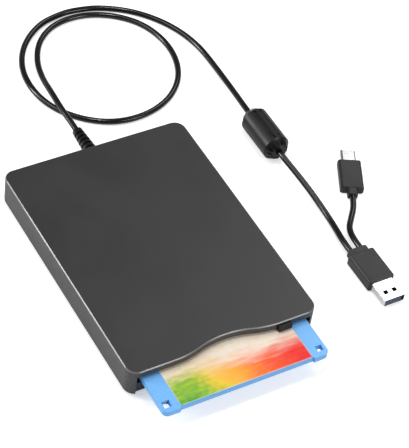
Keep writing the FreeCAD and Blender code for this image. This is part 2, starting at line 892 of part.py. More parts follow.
def disk_holder():
    y0, y1 = holder_front_y, holder_back_y
    plate = box(-holder_out, holder_out, y0, y1, holder_plate_z, holder_top_z)
    low = holder_floor_z - holder_sheet
    stop_y = seated_lead_y + disk_face_gap
    pieces = []
    for side in (-1, 1):
        wall = on_side(side, holder_in, holder_out)
        flange = on_side(side, holder_out - holder_flange, holder_out)
        stop = on_side(side, *holder_stop)
        pieces.append(box(*wall, y0, y1, low, holder_top_z))
        pieces.append(box(*flange, y0, y1, low, holder_floor_z))
        pieces.append(box(*stop, stop_y, stop_y + holder_sheet, disk_bottom_z, holder_top_z))
    body = join(plate, pieces)
    side = head_window_width + holder_window_gap
    window = box(-side, side, head_y - head_travel - head_size / 2 - 2 * past, y1,
                 holder_plate_z, holder_top_z)
    openings = [rounded_box(x - holder_opening_half, x + holder_opening_half,
                            holder_front_y + holder_opening[0],
                            holder_front_y + holder_opening[1],
                            holder_plate_z, holder_top_z, chassis_window_r)
                for x in (-holder_opening_x, holder_opening_x)]
    return cut_all(body, [window, lever_path()] + openings)


def holder_pins():
    length = chassis_out - holder_out - guide_pin_tip
    pins = []
    for y in guide_pin_y:
        for x in (-chassis_out + guide_pin_tip, holder_out):
            pins.append(rod(guide_pin_r, length, (x, y, guide_pin_z), (1, 0, 0)))
    return group(pins)


def slide_plate():
    y0, y1 = slide_front_y, slide_deck_back_y
    deck = box(-slide_out, slide_out, y0, y1, slide_deck_z, slide_top_z)
    window = rounded_box(-slide_out + slide_window_left, slide_out - slide_window_right,
                         y0 + slide_window_front, y1 - slide_window_back,
                         slide_deck_z, slide_top_z, slide_window_r)
    half_arm = button_arm_width / 2
    pieces = [box(button_centre_x - half_arm, button_centre_x + half_arm,
                  button_front_y + button_arm_grip, y0, slide_deck_z, slide_top_z)]
    for side in (-1, 1):
        wall = on_side(side, slide_in, slide_out)
        tab = on_side(side, spring_x - spring_tab, slide_out)
        pieces.append(box(*wall, y0, slide_back_y, deck_z + disk_face_gap, slide_top_z))
        pieces.append(box(*tab, tab_front_y, tab_front_y + spring_tab,
                          spring_z - spring_tab_half, spring_z + spring_tab_half))
    body = join(deck.cut(window), pieces)
    slope = holder_drop / slide_travel
    for y in guide_pin_y:
        high = (y - slide_press, guide_pin_z + slide_press * slope)
        low = (y + slide_travel, guide_pin_z - holder_drop)
        for side in (-1, 1):
            wall = on_side(side, slide_in, slide_out)
            body = body.cut(oblong(*wall, high, low, guide_pin_r + pin_gap))
    return body


def eject_button():
    y0 = button_front_y
    cap = box(button_centre_x - button_width / 2, button_centre_x + button_width / 2,
              y0, y0 + button_length, button_low_z, button_top_z)
    front = [e for e in cap.Edges if abs(e.BoundBox.YMax - y0) < 1e-4]
    cap = cap.makeFillet(button_edge_r, front)
    half = button_arm_width / 2 + pin_gap
    pocket = box(button_centre_x - half, button_centre_x + half,
                 y0 + button_arm_grip - pin_gap, y0 + button_length,
                 slide_deck_z - pin_gap, slide_top_z + pin_gap)
    return cap.cut(pocket)


def coil(radius, wire, turns, length, base):
    """A round-wire coil along +Y from its base point."""
    helix = Part.makeHelix(length / turns, length, radius)
    profile = Part.Wire(Part.makeCircle(wire, V(radius, 0, 0), V(0, 1, 0)))
    spring = Part.Wire(helix.Edges).makePipeShell([profile], True, True)
    spring.rotate(V(0, 0, 0), V(1, 0, 0), -90)
    spring.translate(V(*base))
    return spring


def slide_springs():
    inset = spring_wire + spring_end_gap
    return group([coil(spring_r - spring_wire, spring_wire, spring_turns,
                       spring_length - 2 * inset, (x, spring_front_y + inset, spring_z))
                  for x in (-spring_x, spring_x)])


def shutter_lever():
    z0 = holder_top_z + slide_gap
    tip = (lever_pivot_x + lever_arm * math.sin(lever_rest),
           lever_pivot_y - lever_arm * math.cos(lever_rest))
    bar = Part.makeBox(2 * lever_half_width, lever_arm, lever_sheet,
                       V(-lever_half_width, -lever_arm, 0))
    bar.rotate(V(0, 0, 0), V(0, 0, 1), lever_rest_deg)
    bar.translate(V(lever_pivot_x, lever_pivot_y, z0))
    hub = rod(lever_hub_r, lever_sheet, (lever_pivot_x, lever_pivot_y, z0))
    head = rod(lever_head_r, lever_sheet, (*tip, z0))
    pin_low = disk_top_z + head_gap
    pin = rod(lever_pin_r, z0 - pin_low + lever_sheet, (*tip, pin_low))
    body = join(bar, [hub, head, pin])
    return body.cut(rod(rivet_r + running_gap, lever_sheet, (lever_pivot_x, lever_pivot_y, z0)))


def lever_rivet():
    height = slide_gap + lever_sheet + running_gap
    post = rod(rivet_r, height, (lever_pivot_x, lever_pivot_y, holder_top_z))
    cap = rod(rivet_head_r, rivet_head, (lever_pivot_x, lever_pivot_y, holder_top_z + height))
    return join(post, [cap])


def motor_board():
    plate = rounded_box(-motor_board_left, motor_board_right, spindle_y - motor_board_front,
                        motor_board_back_y, deck_z, deck_z + motor_board_thickness,
                        motor_board_r)
    holes = [rod(bearing_r + pin_gap, motor_board_thickness, (0, spindle_y, deck_z))]
    holes += [rod(motor_hole_r, motor_board_thickness, (x, spindle_y + y, deck_z))
              for x, y in motor_board_holes]
    return cut_all(plate, holes)


def stator():
    z0 = deck_z + motor_board_thickness
    core = ring(bearing_r + stator_core_width, bearing_r + pin_gap, stator_core,
                (0, spindle_y, z0))
    teeth = []
    for i in range(stator_poles):
        tooth = box(bearing_r + tooth_root, stator_r, -tooth_half, tooth_half,
                    z0, z0 + stator_core)
        winding = box(bearing_r + winding_root, stator_r - winding_end,
                      -winding_half, winding_half, z0, z0 + winding_height)
        tooth = tooth.fuse(winding)
        tooth.rotate(V(0, 0, 0), V(0, 0, 1), 360.0 * i / stator_poles)
        tooth.translate(V(0, spindle_y, 0))
        teeth.append(tooth)
    return join(core, teeth)


def spindle_bearing():
    top = cup_top_z - rotor_top - bearing_top_gap
    return ring(bearing_r, spindle_shaft_r + pin_gap, top - deck_z, (0, spindle_y, deck_z))


def spindle_rotor():
    low = deck_z + spindle_end_gap
    shaft = rod(spindle_shaft_r, shaft_tip_z - low, (0, spindle_y, low))
    cup = rod(rotor_r, rotor_height, (0, spindle_y, cup_low_z))
    cup = cup.cut(rod(rotor_r - rotor_wall, rotor_height - rotor_top, (0, spindle_y, cup_low_z)))
    table = rod(spindle_table_r, spindle_table, (0, spindle_y, cup_top_z))
    table = table.makeFillet(spindle_table_edge_r, edges_at(table, table_top_z))
    return join(cup, [table, shaft])


def rotor_magnet():
    outer = rotor_r - rotor_wall
    return ring(outer, outer - magnet_thickness, rotor_height - rotor_top - magnet_inset,
                (0, spindle_y, cup_low_z + magnet_inset))


def drive_pin():
    return rod(drive_pin_r, shaft_proud, (drive_pin_orbit, spindle_y, table_top_z))


def stepper_bracket():
    x, y = lead_screw_x, bracket_y
    outer = x + bracket_half
    inner = outer - bracket_sheet
    plate = box(x - bracket_half, outer, y, y + bracket_sheet, deck_z, lead_screw_z + stepper_r)
    foot = box(inner, outer + bracket_foot, y, y + bracket_foot_length,
               deck_z, deck_z + bracket_sheet)
    link = box(inner, outer, y, y + bracket_foot_length, deck_z, lead_screw_z - bracket_link_drop)
    hole = rod(lead_screw_r + bracket_hole_gap, bracket_sheet, (x, y, lead_screw_z), (0, 1, 0))
    return join(plate, [foot, link]).cut(hole)


def stepper_motor():
    x = lead_screw_x
    can = rod(stepper_r, stepper_length, (x, motor_y, lead_screw_z), (0, 1, 0))
    can = can.cut(rod(lead_screw_r + pin_gap, screw_tail + pin_gap,
                      (x, motor_y, lead_screw_z), (0, 1, 0)))
    lug = box(x - stepper_lug[1], x - stepper_lug[0], motor_y + stepper_lug_length[0],
              motor_y + stepper_lug_length[1], deck_z + stepper_lug_height[0],
              deck_z + stepper_lug_height[1])
    return join(can, [lug])


def lead_screw():
    end = motor_y + screw_tail
    screw = rod(lead_screw_r, end - screw_front_y, (lead_screw_x, screw_front_y, lead_screw_z),
                (0, 1, 0))
    groove_count = int((nut_back_y - screw_front_y) / lead_screw_pitch)
    for i in range(groove_count):
        y = screw_front_y + groove_start + lead_screw_pitch * i
        cut = box(-groove_half, groove_half, -groove_width / 2, groove_width / 2,
                  lead_screw_r - groove_depth, lead_screw_r + past)
        cut.rotate(V(0, 0, 0), V(0, 0, 1), groove_turn_deg)
        for quarter in range(4):
            flat = cut.copy()
            flat.rotate(V(0, 0, 0), V(0, 1, 0), 90.0 * quarter)
            flat.translate(V(lead_screw_x, y + lead_screw_pitch * quarter / 4, lead_screw_z))
            screw = screw.cut(flat)
    return screw


def screw_end_bearing():
    side = screw_bearing_side
    post = box(lead_screw_x - side, lead_screw_x + side, screw_front_y - screw_bearing_half,
               screw_front_y + screw_bearing_half, deck_z, lead_screw_z + side)
    hole = rod(lead_screw_r + pin_gap, screw_bearing_half + past,
               (lead_screw_x, screw_front_y, lead_screw_z), (0, 1, 0))
    return post.cut(hole)


def guide_rod():
    return rod(guide_rod_r, rod_back_y - rod_front_y, (guide_rod_x, rod_front_y, guide_rod_z),
               (0, 1, 0))


def rod_clips():
    clips = []
    for y in (rod_front_y + rod_end, rod_back_y - rod_end - rod_clip):
        clip = box(guide_rod_x - rod_clip_half, guide_rod_x + rod_clip_half, y, y + rod_clip,
                   deck_z, guide_rod_z + rod_clip_above)
        clips.append(clip.cut(rod(guide_rod_r, rod_clip, (guide_rod_x, y, guide_rod_z), (0, 1, 0))))
    return group(clips)


def head_carriage():
    low = box(guide_rod_x - carriage_left, carriage_right, carriage_front_y, nut_back_y,
              deck_z + carriage_lift, carriage_top_z)
    post = box(-carriage_post_half, carriage_post_half, nut_front_y, nut_back_y,
               carriage_top_z, arm_pivot_z + carriage_post_above)
    nut = box(head_arm_half + nut_gap, lead_screw_x + nut_side, nut_front_y, nut_back_y,
              lead_screw_z - nut_below, lead_screw_z + nut_above)
    web = box(carriage_post_half, head_arm_half + nut_gap, nut_front_y, nut_back_y,
              lead_screw_z - nut_below, lead_screw_z + nut_web_above)
    arm_top = lower_head_z - head_thickness
    arm = box(-lower_arm_half, lower_arm_half, head_y - head_size / 2 - lower_arm_front,
              carriage_front_y, arm_top - lower_arm_sheet, arm_top)
    body = join(low, [post, nut, web, arm])
    length = nut_back_y - carriage_front_y + 2 * past
    holes = [
        rod(guide_rod_r + running_gap, length, (guide_rod_x, carriage_front_y - past, guide_rod_z),
            (0, 1, 0)),
        rod(lead_screw_r + running_gap, length, (lead_screw_x, nut_front_y - past, lead_screw_z),
            (0, 1, 0)),
        rod(arm_pin_r, 2 * head_arm_half, (-head_arm_half, arm_pivot_y, arm_pivot_z), (1, 0, 0))]
    return cut_all(body, holes)


def head_pad(z0, z1, face_z):
    half = head_size / 2
    pad = box_about(0, head_y, half, half, z0, z1)
    return pad.makeChamfer(head_edge, edges_at(pad, face_z))


def upper_head_arm():
    top = head_arm_z + head_arm_sheet
    plate = rounded_box(-head_arm_half, head_arm_half, head_y - head_size / 2 - head_arm_front,
                        arm_pivot_y + head_arm_lug_half, head_arm_z, top, head_arm_corner_r)
    lugs = [box(*on_side(side, head_arm_half - head_arm_lug, head_arm_half),
                arm_pivot_y - head_arm_lug_half, arm_pivot_y + head_arm_lug_half,
                arm_pivot_z - head_arm_lug_drop, top) for side in (-1, 1)]
    hole = rod(arm_pin_r + pin_gap, 2 * head_arm_half,
               (-head_arm_half, arm_pivot_y, arm_pivot_z), (1, 0, 0))
    window = rounded_box(-head_arm_window_half, head_arm_window_half,
                         head_y + head_arm_window_front, arm_pivot_y - head_arm_window_back,
                         head_arm_z, top, head_window_r)
    return cut_all(join(plate, lugs), [hole, window])


def arm_pivot_pin():
    reach = head_arm_half + arm_pin_end
    return rod(arm_pin_r, 2 * reach, (-reach, arm_pivot_y, arm_pivot_z), (1, 0, 0))


def drive_board_span():
    return -(chassis_in - drive_board_side_gap), -(motor_board_left + drive_board_motor_gap)


def drive_board():
    x0, x1 = drive_board_span()
    plate = rounded_box(x0, x1, drive_board_front_y, drive_board_back_y,
                        drive_board_z, drive_board_top_z, drive_board_r)
    ys = (drive_board_front_y + drive_peg_front, drive_board_back_y - drive_peg_inset)
    pegs = [rod(drive_peg_r, drive_board_lift, (x, y, deck_z))
            for x in (x0 + drive_peg_inset, x1 - drive_peg_inset) for y in ys]
    return join(plate, pegs)


def chip(x, y, width, length, height, z):
    """A flat package with a row of legs down each long side."""
    body = box_about(x, y, width / 2, length / 2, z + chip_seat, z + height)
    count = int(length / chip_leg_pitch)
    legs = [box_about(x, y + (i - (count - 1) / 2) * chip_leg_pitch, width / 2 + chip_leg_out,
                      chip_leg_half, z, z + chip_leg_thick) for i in range(count)]
    return join(body, legs)


def block(x, y, width, length, height, z):
    return box_about(x, y, width / 2, length / 2, z, z + height)


def board_chips():
    middle = sum(drive_board_span()) / 2
    z = drive_board_top_z
    parts = [chip(middle + x, spindle_y + y, *size, z) for x, y, *size in drive_chip_sizes]
    x, y, *size = crystal_size
    parts.append(block(middle + x, spindle_y + y, *size, z))
    x, y = capacitor_place
    parts.append(rod(capacitor_r, capacitor_height, (middle + x, spindle_y + y, z)))
    x, y, *size = usb_chip_size
    parts.append(chip(x, usb_board_y + y, *size, usb_board_top_z))
    parts += [block(x, usb_board_y + y, *size, usb_board_top_z)
              for x, y, *size in usb_small_parts]
    return group(parts)


def socket_x():
    middle = sum(drive_board_span()) / 2
    return middle + socket_span[0], middle + socket_span[1]


def board_sockets():
    x0, x1 = socket_x()
    top = usb_board_top_z + socket_height
    back = chassis_back_y - socket_back
    front = usb_board_y + usb_socket_front
    header = box(relief_x - header_half, relief_x + header_half, header_back_y - header_depth,
                 header_back_y, usb_board_top_z, usb_board_top_z + header_height)
    return group([box(x0, x1, back - socket_length, back, drive_board_top_z, top),
                  box(x0, x1, front, front + usb_socket_length, usb_board_top_z, top), header])


def ribbon_cable():
    x0, x1 = socket_x()
    z = usb_board_top_z + ribbon_lift
    return box(x0 + ribbon_margin, x1 - ribbon_margin, chassis_back_y - socket_back,
               usb_board_y + usb_socket_front, z, z + ribbon_sheet)


def usb_board():
    plate = box(-(half_w - usb_board_left_inset), half_w - usb_board_right_inset,
                usb_board_y, usb_board_y + usb_board_depth, usb_board_z, usb_board_top_z)
    return cut_all(plate, [rod(usb_hole_r, usb_board_thickness, (x, y, usb_board_z))
                           for x, y in usb_post_spots()])


def board_screws():
    z = usb_board_top_z
    return group([join(rod(usb_screw_head_r, usb_screw_head, (x, y, z)),
                       [rod(usb_screw_r, usb_screw_length, (x, y, z - usb_screw_length))])
                  for x, y in usb_post_spots()])


def inner_wires():
    length = relief_flange_y - header_back_y
    first = relief_x - wire_pitch * (wire_count - 1) / 2
    return group([rod(wire_r, length, (first + wire_pitch * i, header_back_y, relief_z), (0, 1, 0))
                  for i in range(wire_count)])


def sense_switch_places():
    hole_y = disk_front_y + disk_travel + sense_hole_y
    return {"write_protect": (-sense_hole_x, hole_y), "density": (sense_hole_x, hole_y),
            "disk_in": (disk_in_switch_x, hole_y + disk_in_switch_back)}


def sense_switches():
    bodies = []
    for x, y in sense_switch_places().values():
        body = box(x - switch_half, x + switch_half, y - switch_front, y + switch_back,
                   deck_z, deck_z + switch_height)
        hole = rod(plunger_r + pin_gap, switch_height - switch_floor, (x, y, deck_z + switch_floor))
        bodies.append(body.cut(hole))
    return group(bodies)


def plunger(name):
    x, y = sense_switch_places()[name]
    z0 = deck_z + switch_floor + plunger_travel + plunger_end_gap
    top = disk_low_z - head_gap
    stem = rod(plunger_r, top - z0, (x, y, z0))
    return stem.makeChamfer(plunger_edge, edges_at(stem, top))


def disk_outline(z0, z1):
    half = disk_width / 2
    body = rounded_box(-half, half, disk_front_y, disk_lead_y, z0, z1, disk_corner_r)
    cut = disk_key_cut + past
    points = [V(-half - past, disk_lead_y + past, z0), V(-half - past, disk_lead_y - cut, z0),
              V(-half + cut, disk_lead_y + past, z0), V(-half - past, disk_lead_y + past, z0)]
    body = body.cut(Part.Face(Part.makePolygon(points)).extrude(V(0, 0, z1 - z0)))
    edge = half - disk_front_tab
    return body.cut(box(-edge, edge, disk_front_y - past, disk_front_y + disk_front_recess, z0, z1))


def disk_cuts():
    """Spaces that both halves of the disk shell leave: media, window, holes, shutter bed."""
    z0, z1 = disk_bottom_z, disk_top_z
    half = head_window_width / 2
    outer = hub_y + head_window_outer
    cuts = [rod(media_r + media_room, media_thickness + 2 * media_gap,
                (0, hub_y, media_z - media_gap)),
            rounded_box(-half, half, outer - head_window_length, outer, z0, z1, head_window_r)]
    bed = (-shutter_left - tab_clear, shutter_right + shutter_travel + tab_clear)
    y0 = disk_lead_y - shutter_length - tab_clear
    for low, high in ((z1 - shutter_recess, z1), (z0, z0 + shutter_recess)):
        cuts.append(box(*bed, y0, disk_lead_y, low, high))
    cuts.append(box(*bed, disk_lead_y - shutter_recess, disk_lead_y, z0, z1))
    y = disk_front_y + sense_hole_y
    for x, size in ((-sense_hole_x, sense_hole_size), (sense_hole_x, density_hole_size)):
        cuts.append(box_about(x, y, size / 2, size / 2, z0, z1))
    return cuts


def label_front_y():
    return disk_front_y + disk_front_recess + label_front_margin


def disk_shell_top():
    body = cut_all(disk_outline(disk_mid_z, disk_top_z), disk_cuts())
    y0 = label_front_y()
    bed = box(-label_half - label_gap, label_half + label_gap, y0 - label_gap,
              y0 + label_length + label_gap, disk_top_z - label_recess, disk_top_z)
    return body.cut(bed)


def disk_label():
    y0 = label_front_y()
    z0 = disk_top_z - label_recess
    return rounded_box(-label_half, label_half, y0, y0 + label_length, z0, z0 + label_sheet,
                       label_corner_r)


def tab_rest_y():
    """Front edge of the write-protect tab when it leaves its hole open."""
    return disk_front_y + sense_hole_y - sense_hole_size / 2 + tab_travel - tab_edge_gap


def disk_shell_bottom():
    body = cut_all(disk_outline(disk_bottom_z, disk_mid_z), disk_cuts())
    opening = rod(hub_opening_r, disk_thickness, (0, hub_y, disk_bottom_z - past))
    y1 = tab_rest_y() + tab_length + tab_clear
    y0 = tab_rest_y() - tab_travel - tab_clear
    wide = tab_width / 2 + tab_clear
    pocket = box(-sense_hole_x - wide, -sense_hole_x + wide, y0, y1,
                 disk_bottom_z + tab_floor, disk_mid_z)
    slot = box(-sense_hole_x - tab_slot_half, -sense_hole_x + tab_slot_half,
               y0 + tab_slot_half, y1 - tab_slot_half, disk_bottom_z, disk_mid_z)
    return cut_all(body, [opening, pocket, slot])


def write_protect_tab():
    y0 = tab_rest_y()
    y1 = y0 + tab_length
    floor = disk_bottom_z + tab_floor + tab_face_gap
    body = box(-sense_hole_x - tab_width / 2, -sense_hole_x + tab_width / 2, y0, y1,
               floor, disk_mid_z - tab_face_gap)
    nub = box(-sense_hole_x - tab_nub_half, -sense_hole_x + tab_nub_half, y0 + tab_nub_inset,
              y1 - tab_nub_inset, disk_bottom_z + tab_face_gap, floor)
    return join(body, [nub])


def disk_shutter():
    x0, x1 = -shutter_left, shutter_right
    y0, y1 = disk_lead_y - shutter_length, disk_lead_y
    inset = (shutter_recess - shutter_sheet) / 2
    top = disk_top_z - inset
    low = disk_bottom_z + inset
    body = join(box(x0, x1, y0, y1, top - shutter_sheet, top),
                [box(x0, x1, y0, y1, low, low + shutter_sheet),
                 box(x0, x1, y1 - shutter_sheet, y1, low, top)])
    half = head_window_width / 2 + shutter_window_gap
    outer = hub_y + head_window_outer
    window = rounded_box(-shutter_travel - half, -shutter_travel + half,
                         outer - head_window_length, outer,
                         disk_bottom_z - past, disk_top_z + past, head_window_r)
    return body.cut(window)


def disk_media():
    return ring(media_r, hub_collar_r, media_thickness, (0, hub_y, media_z))


def disk_hub():
    z0 = disk_bottom_z + hub_recess
    plate = rod(hub_plate_r, hub_thickness, (0, hub_y, z0))
    collar = rod(hub_collar_r, media_z + media_thickness - z0, (0, hub_y, z0))
    half = hub_square / 2
    square = box_about(0, hub_y, half, half, z0, z0 + disk_thickness)
    drive_slot = box(hub_slot_near, hub_slot_far, hub_y - hub_slot_half, hub_y + hub_slot_half,
                     z0, z0 + disk_thickness)
    return cut_all(join(plate, [collar]), [square, drive_slot])


def disk_liners():
    reach = media_gap - liner_gap
    sheets = []
    for z in (media_z - reach, media_z + media_thickness + reach - liner_sheet):
        sheet = ring(media_r - liner_edge, hub_opening_r + liner_edge, liner_sheet, (0, hub_y, z))
        half = head_window_width / 2 + liner_slot_gap
        sheets.append(sheet.cut(box(-half, half, hub_y, disk_lead_y, z, z + liner_sheet)))
    return group(sheets)


def strain_relief():
    """Ribbed cone behind the case, with a neck through the wall and a flange inside."""
    y0, y1 = case_back_y, relief_end_y
    neck = relief_neck_r - pin_gap
    step = (relief_length - relief_rib_start - relief_rib_end) / relief_ribs
    points = [V(0, y0 - case_wall, 0), V(neck, y0 - case_wall, 0), V(neck, y0, 0),
              V(relief_root_r, y0, 0)]
    for i in range(relief_ribs):
        y = y0 + relief_rib_start + step * i
        wide = relief_root_r + (relief_end_r - relief_root_r) * (y - y0) / relief_length
        deep = wide - relief_groove_depth
        points += [V(wide, y, 0), V(deep, y + relief_groove_slope, 0),
                   V(deep, y + relief_groove_width - relief_groove_slope, 0),
                   V(wide, y + relief_groove_width, 0)]
    points += [V(relief_end_r, y1 - relief_edge, 0), V(relief_end_r - relief_edge, y1, 0),
               V(0, y1, 0), points[0]]
    cone = Part.Face(Part.makePolygon(points)).revolve(V(0, 0, 0), V(0, 1, 0), 360)
    cone.translate(V(relief_x, 0, relief_z))
    flange = box(relief_x - relief_flange_half, relief_x + relief_flange_half, relief_flange_y,
                 y0 - case_wall, relief_z - relief_neck_r, relief_z + relief_neck_r)
    return join(cone, [flange])


def choke_ends():
    """Where the choke starts and ends along Y."""
    half = choke_body / 2 + choke_cap
    return choke_y - half, choke_y + half


def choke_notches():
    """Radial notches in both tapered caps, which leave a ring of ribs."""
    notches = []
    for end in choke_ends():
        inward = 1 if end < choke_y else -1
        ys = sorted((end, end + inward * (choke_cap - choke_cap_step)))
        for i in range(choke_ribs):
            notch = box(-choke_notch_half, choke_notch_half, *ys,
                        choke_end_r, choke_r + past)
            slope = math.degrees(math.atan2(choke_r - choke_end_r, choke_cap))
            notch.rotate(V(0, end, choke_end_r), V(1, 0, 0), inward * slope)
            notch.translate(V(0, 0, -choke_notch_depth))
            notch.rotate(V(0, 0, 0), V(0, 1, 0), 360.0 * (i + 0.5) / choke_ribs)
            notch.translate(V(choke_x, 0, choke_r))
            notches.append(notch)
    return notches


def choke_half(side):
    """One of the two shells that clip together along the top and hinge below."""
    y0, y1 = choke_ends()
    step_r = choke_r - choke_cap_step
    points = [V(0, y0, 0), V(choke_end_r, y0, 0), V(step_r, y0 + choke_cap - choke_cap_step, 0),
              V(choke_r, y0 + choke_cap, 0), V(choke_r, y1 - choke_cap, 0),
              V(step_r, y1 - choke_cap + choke_cap_step, 0), V(choke_end_r, y1, 0), V(0, y1, 0),
              V(0, y0, 0)]
    body = Part.Face(Part.makePolygon(points)).revolve(V(0, 0, 0), V(0, 1, 0), 360)
    body.translate(V(choke_x, 0, choke_r))
    half_body = choke_body / 2
    strip = box(choke_x - choke_strip_half, choke_x + choke_strip_half, choke_y - half_body,
                choke_y + half_body, 2 * choke_r - choke_wall / 2,
                2 * choke_r + choke_strip_proud)
    body = join(body, [strip])
    cuts = [rod(cord_r + choke_bore_gap, y1 - y0, (choke_x, y0, choke_r), (0, 1, 0)),
            rod(choke_r - choke_wall, choke_body, (choke_x, choke_y - half_body, choke_r),
                (0, 1, 0))]
    for y in (choke_y - half_body + choke_catch_inset, choke_y + half_body - choke_catch_inset):
        for x in (choke_x - choke_catch_x, choke_x + choke_catch_x):
            cuts.append(box_about(x, y, choke_catch_half, choke_catch_half,
                                  2 * choke_r - choke_catch_depth, 2 * choke_r + past))
    body = cut_all(body, cuts + choke_notches())
    x0, x1 = sorted((choke_x, choke_x + side * 2 * choke_r))
    return body.common(box(x0, x1, y0, y1, 0, 2 * choke_r + past))


def choke_core():
    gap = choke_core_gap
    return ring(choke_r - choke_wall - gap, cord_r + choke_bore_gap, choke_body - 2 * gap,
                (choke_x, choke_y - choke_body / 2 + gap, choke_r), (0, 1, 0))


def soft_block(width, length, thickness, radius, edge):
    """A moulded plug body along +Y from y = 0, centred on x, standing on z = 0."""
    body = box(-width / 2, width / 2, 0, length, 0, thickness)
    body = body.makeFillet(radius, edges_along_y(body, length))
    ends = [e for e in body.Edges if e.BoundBox.YLength < 1e-3]
    return body.makeChamfer(edge, ends)


def usb_a_body():
    body = soft_block(usb_a_width, usb_a_length, usb_a_thickness, usb_a_corner_r, usb_a_edge)
    body.translate(V(usb_a_x, usb_a_front_y, 0))
    collar = soft_block(usb_a_collar_width, usb_a_collar + collar_overlap,
                        usb_a_collar_thickness, usb_a_collar_r, usb_a_edge)
    collar.translate(V(usb_a_x, usb_a_back_y - collar_overlap,
                       usb_a_mid_z - usb_a_collar_thickness / 2))
    return join(body, [collar])


def usb_a_metal():
    y0, y1 = usb_a_front_y - usb_a_shell_length, usb_a_front_y
    half_t = usb_a_shell_thickness / 2
    half_width = usb_a_shell_width / 2
    low, high = usb_a_mid_z - half_t, usb_a_mid_z + half_t
    outer = box(usb_a_x - half_width, usb_a_x + half_width, y0, y1, low, high)
    outer = outer.makeFillet(usb_a_shell_corner_r, edges_along_y(outer, usb_a_shell_length))
    s = usb_shell_sheet
    inner = box(usb_a_x - half_width + s, usb_a_x + half_width - s, y0 - past,
                y1 - usb_shell_seat, low + s, high - s)
    inner = inner.makeFillet(usb_a_inner_corner_r, edges_along_y(inner, usb_a_shell_length))
    shell = outer.cut(inner)
    near, far = usb_a_hole
    holes = [box(usb_a_x + x - usb_a_hole_half, usb_a_x + x + usb_a_hole_half,
                 y1 - far, y1 - near, low - past, high + past)
             for x in (-usb_a_hole_x, usb_a_hole_x)]
    return cut_all(shell, holes)


def usb_a_tongue():
    low = usb_a_mid_z - usb_a_shell_thickness / 2 + usb_shell_sheet
    y1 = usb_a_front_y - usb_shell_seat
    return box(usb_a_x - usb_a_tongue_half, usb_a_x + usb_a_tongue_half,
               y1 - usb_a_shell_length + usb_a_tongue_short, y1,
               low, low + usb_a_tongue_thickness)


def usb_a_contacts():
    y1 = usb_a_front_y - usb_shell_seat
    near, far = usb_a_contact_length
    top = usb_a_mid_z - usb_a_shell_thickness / 2 + usb_shell_sheet + usb_a_tongue_thickness
    return group([box(usb_a_x + x - usb_a_contact_half, usb_a_x + x + usb_a_contact_half,
                      y1 - far, y1 - near, top, top + usb_a_contact_sheet)
                  for x in usb_a_contact_x])


def place_c(shape):
    """Turns a piece made along +Y from the plug's back face into the plug's place."""
    shape = shape.copy()
    shape.translate(V(0, -usb_c_length / 2, 0))
    shape.rotate(V(0, 0, 0), V(0, 0, 1), usb_c_turn_deg)
    shape.translate(V(usb_c_centre[0], usb_c_centre[1], 0))
    return shape


def usb_c_body():
    body = soft_block(usb_c_width, usb_c_length, usb_c_thickness, usb_c_corner_r, usb_c_edge)
    collar = soft_block(usb_c_collar_width, usb_c_collar + collar_overlap,
                        usb_c_collar_thickness, usb_c_collar_r, usb_c_edge)
    collar.translate(V(0, -usb_c_collar, usb_c_mid_z - usb_c_collar_thickness / 2))
    return place_c(join(body, [collar]))


def racetrack(inset, length, y0):
    """The round-ended section of the small plug's shell, made smaller by an inset."""
    half = usb_c_shell_width / 2 - inset
    half_t = usb_c_shell_thickness / 2 - inset
    body = box(-half, half, y0, y0 + length, usb_c_mid_z - half_t, usb_c_mid_z + half_t)
    return body.makeFillet(half_t - flat_side, edges_along_y(body, length))


def usb_c_metal():
    outer = racetrack(0, usb_c_shell_length, usb_c_length)
    inner = racetrack(usb_shell_sheet, usb_c_shell_length, usb_c_length + usb_shell_seat)
    return place_c(outer.cut(inner))


def usb_c_insert():
    body = racetrack(usb_shell_sheet, usb_c_shell_length - usb_c_insert_short,
                     usb_c_length + usb_shell_seat)
    slot = box(-usb_c_slot_half_width, usb_c_slot_half_width, usb_c_length + usb_c_slot_start,
               usb_c_length + usb_c_shell_length, usb_c_mid_z - usb_c_slot_half,
               usb_c_mid_z + usb_c_slot_half)
    return place_c(body.cut(slot))


def cord_tube(name, points):
    """Straight runs joined by tangent arcs, each as large as its two runs allow."""
    corners = [V(*p) for p in points]
    start = corners[0]
    edges = []
    radii = []
    for i in range(1, len(corners) - 1):
        back = corners[i - 1] - corners[i]
        ahead = corners[i + 1] - corners[i]
        turn = math.pi - back.getAngle(ahead)
        trim = cord_arc_share * min(back.Length, ahead.Length)
        radius = trim / math.tan(turn / 2)
        first = corners[i] + back.normalize() * trim
        last = corners[i] + ahead.normalize() * trim
        inward = (first + last) * 0.5 - corners[i]
        middle = corners[i] + inward.normalize() * (radius / math.cos(turn / 2) - radius)
        edges.append(Part.LineSegment(start, first).toShape())
        edges.append(Part.Arc(first, middle, last).toShape())
        start = last
        radii.append(radius)
    edges.append(Part.LineSegment(start, corners[-1]).toShape())
    path = Part.Wire(edges)
    direction = corners[1] - corners[0]
    section = Part.Wire(Part.makeCircle(cord_r, corners[0], direction))
    tube = path.makePipeShell([section], True, False)
    print(name, "length", round(path.Length, 1), "least radius", round(min(radii), 1),
          "radii", [round(r, 1) for r in radii])
    print(name, "volume", round(tube.Volume, 1), "section times length",
          round(math.pi * cord_r ** 2 * path.Length, 1))
    return tube


